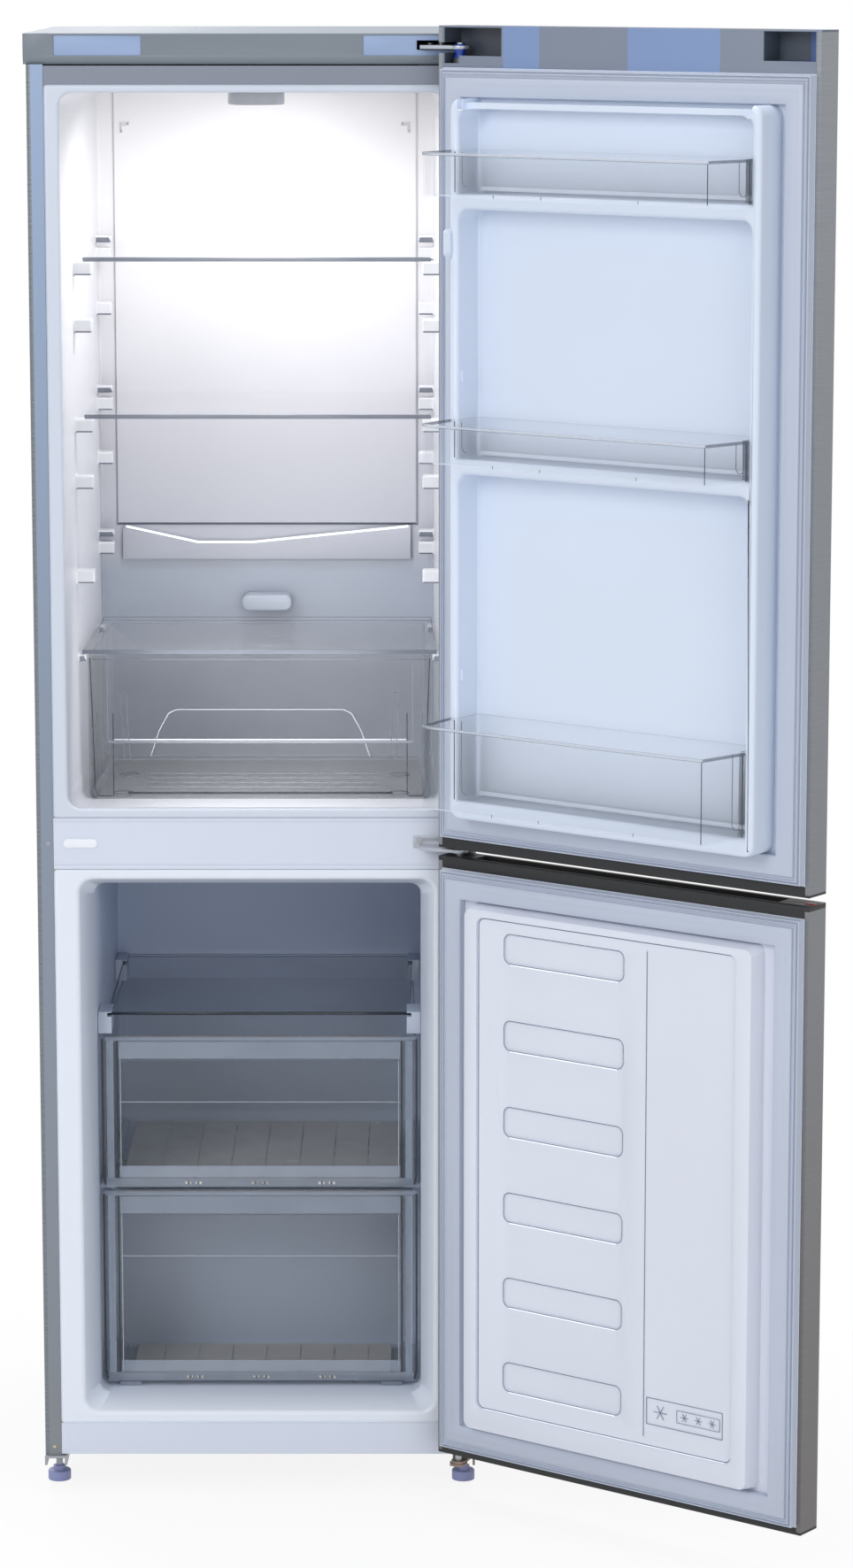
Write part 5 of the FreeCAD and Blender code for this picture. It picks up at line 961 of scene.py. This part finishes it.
def fold(a0, a1, b0, b1, radius):
    """A shadow round a hollow's rim and a highlight along its foot and its far side."""
    return [("shade", 1.1, rounded(a0, a1, b0, b1, radius)),
            ("bright", 1.0, [(a0 + radius, b0 - 1.2), (a1 - radius, b0 - 1.2)]),
            ("pale", 0.9, [(a1 + 1.2, b0 + radius), (a1 + 1.2, b1 - radius)])]


def freezer_door_lines():
    """Painted shade and highlights on the folds of the six bars, of their hollow and of the frame round the
    star marks.
    """
    rows = []
    for i in range(bar_count):
        top = first_bar_top - i * bar_pitch
        rows += fold(*bar_ends, top - bar_height, top, fold_radius)
    rows += fold(*door_hollow, fold_radius)
    rows += [upright("shade", 1.0, door_divider, door_hollow[2] + 10.5, door_hollow[3] - 10.5),
             ("shade", 1.0, rounded(*star_frame, 1)), ("shade", 0.8, rounded(*small_star_frame, 1.5))]
    return [(on_door, door_face_depth, rows)]


def gutter_lines():
    """A painted highlight along the gutter's lower edge, which dips to its drain in the middle."""
    front = box_of("drip_gutter")[0][1]
    edge = [(-187, 1173.2), (-91.5, 1152.2), (-18.8, 1152.2), (187, 1173.2)]
    return [(on_front, front - gutter_standoff, [("bright", 3.2, edge)])]


def cover_lines():
    """The ground front edge of the crisper's glass cover."""
    (_, front, low), (right, back, high) = box_of("crisper_glass")
    return [(on_front, front - 0.4, [level("grey", 5.0, right - 2, (low + high) / 2)])]


front_lines = {
    "freezer_door_liner": freezer_door_lines(), "drip_gutter": gutter_lines(),
    "crisper_drawer": crisper_lines(), "crisper_glass": cover_lines(),
    "freezer_drawer_upper": drawer_lines("freezer_drawer_upper", 0, *upper_floor_margins),
    "freezer_drawer_lower": drawer_lines("freezer_drawer_lower", drawer_foot, *lower_floor_margins),
}
for node in ("door_bin_upper", "door_bin_middle", "door_bin_lower"):
    front_lines[node] = bin_lines(node)
print(len(front_lines), "nodes with line accents")

# %% [markdown]
# The clear pieces are remade with a rim finish and their lines. A plate of glass shows its ground front
# edge, a moulded drawer or bin every face that is as narrow as its wall.


# %% Clear pieces, and folds with painted shade and highlights
rim_width = 0.0055
bin_front_reach = 0.112
forward_slope = -0.2
clear_nodes = {
    "glass_shelf_upper": (glass_edge, 0.0008), "glass_shelf_lower": (glass_edge, 0.0008),
    "crisper_glass": (glass_edge, 0.0008), "freezer_glass_shelf": (dark_edge, 0.0008),
    "crisper_drawer": (crisper_edge, 0.0007), "freezer_drawer_upper": (drawer_edge, 0.0007),
    "freezer_drawer_lower": (drawer_edge, 0.0007), "door_bin_upper": (bin_edge, 0.0007),
    "door_bin_middle": (bin_edge, 0.0007), "door_bin_lower": (bin_edge, 0.0007),
}
lined_nodes = {"freezer_door_liner": 0.0008, "drip_gutter": 0.001}


def narrow_faces(mesh, width):
    """Mark the faces narrower than a width, such as the rim of a thin wall, for the second finish."""
    for face in mesh.faces:
        if 2 * face.calc_area() < width * face.calc_perimeter():
            face.material_index = 1


def bin_rims(mesh, reach):
    """The rim of a bin is dark along its sides and pale along its front."""
    mesh.normal_update()
    for face in mesh.faces:
        if face.material_index == 1 and door_depth(face.calc_center_median())[0] > reach:
            face.material_index = first_line_slot + line_names.index("faint")


def front_faces(mesh):
    """Mark the faces that look forward, the ground front edge of a glass plate, for the second finish."""
    mesh.normal_update()
    for face in mesh.faces:
        if face.normal.y < forward_slope:
            face.material_index = 1


for node, (edge, width) in clear_nodes.items():
    mesh = copied(node)
    if "glass" in node:
        front_faces(mesh)
    else:
        narrow_faces(mesh, rim_width)
    if "bin" in node:
        bin_rims(mesh, bin_front_reach)
    keeps_neighbour = "shelf_" in node or "bin" in node
    stand_for(node, mesh, [node_finish[node], edge] + list(line_finishes.values()), width, 1,
              own_finish if keeps_neighbour else 1, lines=front_lines.get(node))
print(len(clear_nodes), "clear pieces with edge lines")

# The freezer door's folds carry painted shade and highlights, the gutter's lower edge a painted highlight.
for node, width in lined_nodes.items():
    stand_for(node, copied(node), [node_finish[node]] * 2 + list(line_finishes.values()), width,
              lines=front_lines[node])
print(len(lined_nodes), "mouldings with accented folds")

# %% [markdown]
# The liners are thin sheet drawn over a mould: every fold is round, most of all on the dike, the raised
# frame of the door. A rule per piece names the radius of an edge from where it lies, so one bevel gives
# large and small rolls.


# %% Rolled folds of the liners
wide_roll = 0.0052
ledge_roll = 0.003
liner_roll = 0.0035
inner_roll = 0.0024
rail_tip = 1.7365
rail_near = 0.0615
rail_far = 0.4785
dike_depth = 0.0455
ledge_depths = (0.002, 0.0045)
ledge_ends = (0.058, 0.478)
liner_front = 0.0015


def fridge_door_fold(point):
    """The dike is rolled most, the foot of its hollow less, and nothing between the rails' thin tips."""
    depth, along = door_depth(point)
    if point.z > rail_tip and rail_near < along < rail_far:
        return 0.0
    if depth > dike_depth:
        return wide_roll
    if ledge_depths[0] < depth < ledge_depths[1] and ledge_ends[0] < along < ledge_ends[1]:
        return ledge_roll
    return 0.0


def liner_fold(point):
    """A liner's front rim is rolled more than the folds inside."""
    return liner_roll if point.y < liner_front else inner_roll


marked_nodes = {
    "fridge_door_liner": (wide_roll, fridge_door_fold, 4),
    "fridge_liner": (liner_roll, liner_fold, 3), "freezer_liner": (liner_roll, liner_fold, 3),
}
for node, (widest, radius_of, steps) in marked_nodes.items():
    mesh = copied(node)
    mark_radii(mesh, widest, radius_of)
    stand_for(node, mesh, [node_finish[node]], widest, steps, by_mark=True)
print(len(marked_nodes), "pieces with rolled folds")

# %% [markdown]
# The freezer door carries the usual star marks as a shallow relief: one large star and three small ones in
# a frame. A star is the same bar laid across itself a few times, so Geometry Nodes makes it from its number
# of bars, its reach and its thickness, and each star is then laid on the door.


# %% Star marks
def star_tree(material):
    tree = bpy.data.node_groups.new("crossed_bars", "GeometryNodeTree")
    tree.interface.new_socket("Geometry", in_out="OUTPUT", socket_type="NodeSocketGeometry")
    tree.interface.new_socket("Bars", in_out="INPUT", socket_type="NodeSocketInt")
    tree.interface.new_socket("Reach", in_out="INPUT", socket_type="NodeSocketFloat")
    tree.interface.new_socket("Thickness", in_out="INPUT", socket_type="NodeSocketFloat")
    given, out = tree.nodes.new("NodeGroupInput"), tree.nodes.new("NodeGroupOutput")
    kinds = ("MeshLine", "MeshCube", "InstanceOnPoints", "InputIndex", "RealizeInstances", "SetMaterial")
    line, bar, spread, index, realize, paint = [tree.nodes.new("GeometryNode" + kind) for kind in kinds]
    turn = tree.nodes.new("ShaderNodeMath")
    share = tree.nodes.new("ShaderNodeMath")
    turn.operation = "MULTIPLY"
    share.operation = "DIVIDE"
    share.inputs[0].default_value = math.pi
    size = tree.nodes.new("ShaderNodeCombineXYZ")
    angle = tree.nodes.new("ShaderNodeCombineXYZ")
    line.inputs["Offset"].default_value = (0, 0, 0)
    paint.inputs["Material"].default_value = material
    for source, target in (
            (given.outputs["Bars"], line.inputs["Count"]), (given.outputs["Bars"], share.inputs[1]),
            (index.outputs[0], turn.inputs[0]), (share.outputs[0], turn.inputs[1]),
            (turn.outputs[0], angle.inputs["Z"]), (given.outputs["Reach"], size.inputs["X"]),
            (given.outputs["Thickness"], size.inputs["Y"]), (given.outputs["Thickness"], size.inputs["Z"]),
            (size.outputs[0], bar.inputs["Size"]), (line.outputs["Mesh"], spread.inputs["Points"]),
            (bar.outputs["Mesh"], spread.inputs["Instance"]), (angle.outputs[0], spread.inputs["Rotation"]),
            (spread.outputs[0], realize.inputs[0]), (realize.outputs[0], paint.inputs["Geometry"]),
            (paint.outputs[0], out.inputs[0])):
        tree.links.new(source, target)
    return tree


def grown(tree, settings):
    """The plain mesh that a tree makes from its named settings."""
    seed = bpy.data.objects.new("seed", bpy.data.meshes.new("seed"))
    bpy.context.collection.objects.link(seed)
    modifier = seed.modifiers.new("grow", "NODES")
    modifier.node_group = tree
    for socket in tree.interface.items_tree:
        if socket.in_out == "INPUT" and socket.name in settings:
            modifier[socket.identifier] = settings[socket.name]
    mesh = bpy.data.meshes.new_from_object(seed.evaluated_get(bpy.context.evaluated_depsgraph_get()))
    bpy.data.objects.remove(seed)
    return mesh


# The stars take the colour of the painted fold shade.
star_finish = line_finishes["shade"]
star_bars = 3
star_depth = 20.6
# along the door, height, reach, thickness
stars = [(351, 183.2, 19.0, 1.1)] + [(along, 183.2, 10.5, 0.9) for along in (386, 406, 426)]
marks = bmesh.new()
star_nodes = star_tree(star_finish.material)
for along, height, reach, thickness in stars:
    star = grown(star_nodes, {"Bars": star_bars, "Reach": reach, "Thickness": thickness})
    for vert in star.vertices:
        x, y, z = vert.co
        vert.co = on_door(along + x, star_depth + z, height + y)
    marks.from_mesh(star)
bmesh.ops.recalc_face_normals(marks, faces=marks.faces)
star_mesh = bpy.data.meshes.new("freezer_star_marks")
marks.to_mesh(star_mesh)
marks.free()
star_mesh.materials.append(star_finish.material)
star_marks = bpy.data.objects.new("freezer_star_marks", star_mesh)
bpy.context.collection.objects.link(star_marks)
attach(star_marks, body_of_node("freezer_door_liner"))
print(len(stars), "stars,", len(star_mesh.polygons), "faces")

# %% [markdown]
# A door gasket is one soft profile that runs round the door with mitred corners: two thin bellows outside,
# then the wide magnet bulb. The profile is a list of points, each with its distance in from the gasket's
# rim and its height over the door, and a ring of four corners is laid through each of them.

# %% Gaskets
# Each point's distance in from the rim and its height over the door.
gasket_profile = [
    (0.0, 0.0), (0.0, 1.6), (0.6, 2.2), (1.0, 3.0), (1.1, 8.3), (1.5, 8.9), (2.5, 8.9), (2.9, 8.3),
    (3.1, 6.6), (4.0, 6.1), (4.8, 6.6), (5.1, 9.8), (5.5, 10.4), (6.2, 10.4), (6.6, 9.8), (6.9, 7.2),
    (8.6, 6.6), (10.2, 7.2), (10.6, 9.6), (11.4, 10.4), (18.6, 10.7), (19.6, 11.1), (20.6, 11.6),
    (32.0, 11.6), (33.3, 11.0), (34.0, 9.8), (34.0, 0.0),
]
gasket_sharp_angle = 50


def swept_frame(profile, near, far, bottom, top):
    """Rings of four corners, one per profile point, joined into a closed frame."""
    mesh = bmesh.new()
    rings = []
    for inset, depth in profile:
        corners = [(near + inset, bottom + inset), (far - inset, bottom + inset),
                   (far - inset, top - inset), (near + inset, top - inset)]
        rings.append([mesh.verts.new(on_door(along, depth, height)) for along, height in corners])
    for first, second in zip(rings, rings[1:] + rings[:1]):
        for i in range(4):
            j = (i + 1) % 4
            mesh.faces.new((first[i], first[j], second[j], second[i]))
    bmesh.ops.recalc_face_normals(mesh, faces=mesh.faces)
    return mesh


for node in ("fridge_door_gasket", "freezer_door_gasket"):
    (near, _, bottom), (far, _, top) = door_box_of(node)
    frame_mesh = swept_frame(gasket_profile, near, far, bottom, top)
    stand_for(node, frame_mesh, [node_finish[node]], limit=gasket_sharp_angle)
print("gaskets swept along", len(gasket_profile), "points")

# %% [markdown]
# The floor is white to the camera, to mirrors and to glass, yet it keeps part of the shadow under the
# fridge, so that the feet stand on it. With distance from the fridge it turns fully white, so that no
# horizon shows.

# %% Floor
floor_half = 6.0
floor_white_near = 0.86
floor_white_gain = 0.12

floor_finish = Finish("studio_floor", (0.9, 0.9, 0.9, 1), 0.8)
tree = floor_finish.tree
glow = tree.nodes.new("ShaderNodeEmission")
glow.inputs["Color"].default_value = pure_white
glow.inputs["Strength"].default_value = 1
seen = Value(floor_finish, sees_background(tree))
across, back = floor_finish.axes()[:2]
away = (across * across + back * back) * floor_white_gain + floor_white_near
blend = tree.nodes.new("ShaderNodeMixShader")
floor_finish.feed(blend.inputs["Fac"], seen * away.math("MINIMUM", 1.0))
tree.links.new(floor_finish.shader.outputs[0], blend.inputs[1])
tree.links.new(glow.outputs[0], blend.inputs[2])
tree.links.new(blend.outputs[0], tree.nodes["Material Output"].inputs["Surface"])

floor_mesh = bpy.data.meshes.new("studio_floor")
corners = [(x * floor_half, y * floor_half, 0) for x, y in ((-1, -1), (1, -1), (1, 1), (-1, 1))]
floor_mesh.from_pydata(corners, [], [(0, 1, 2, 3)])
floor_mesh.materials.append(floor_finish.material)
floor = bpy.data.objects.new("studio_floor", floor_mesh)
bpy.context.collection.objects.link(floor)
print("floor", floor_half * 2, "m across")
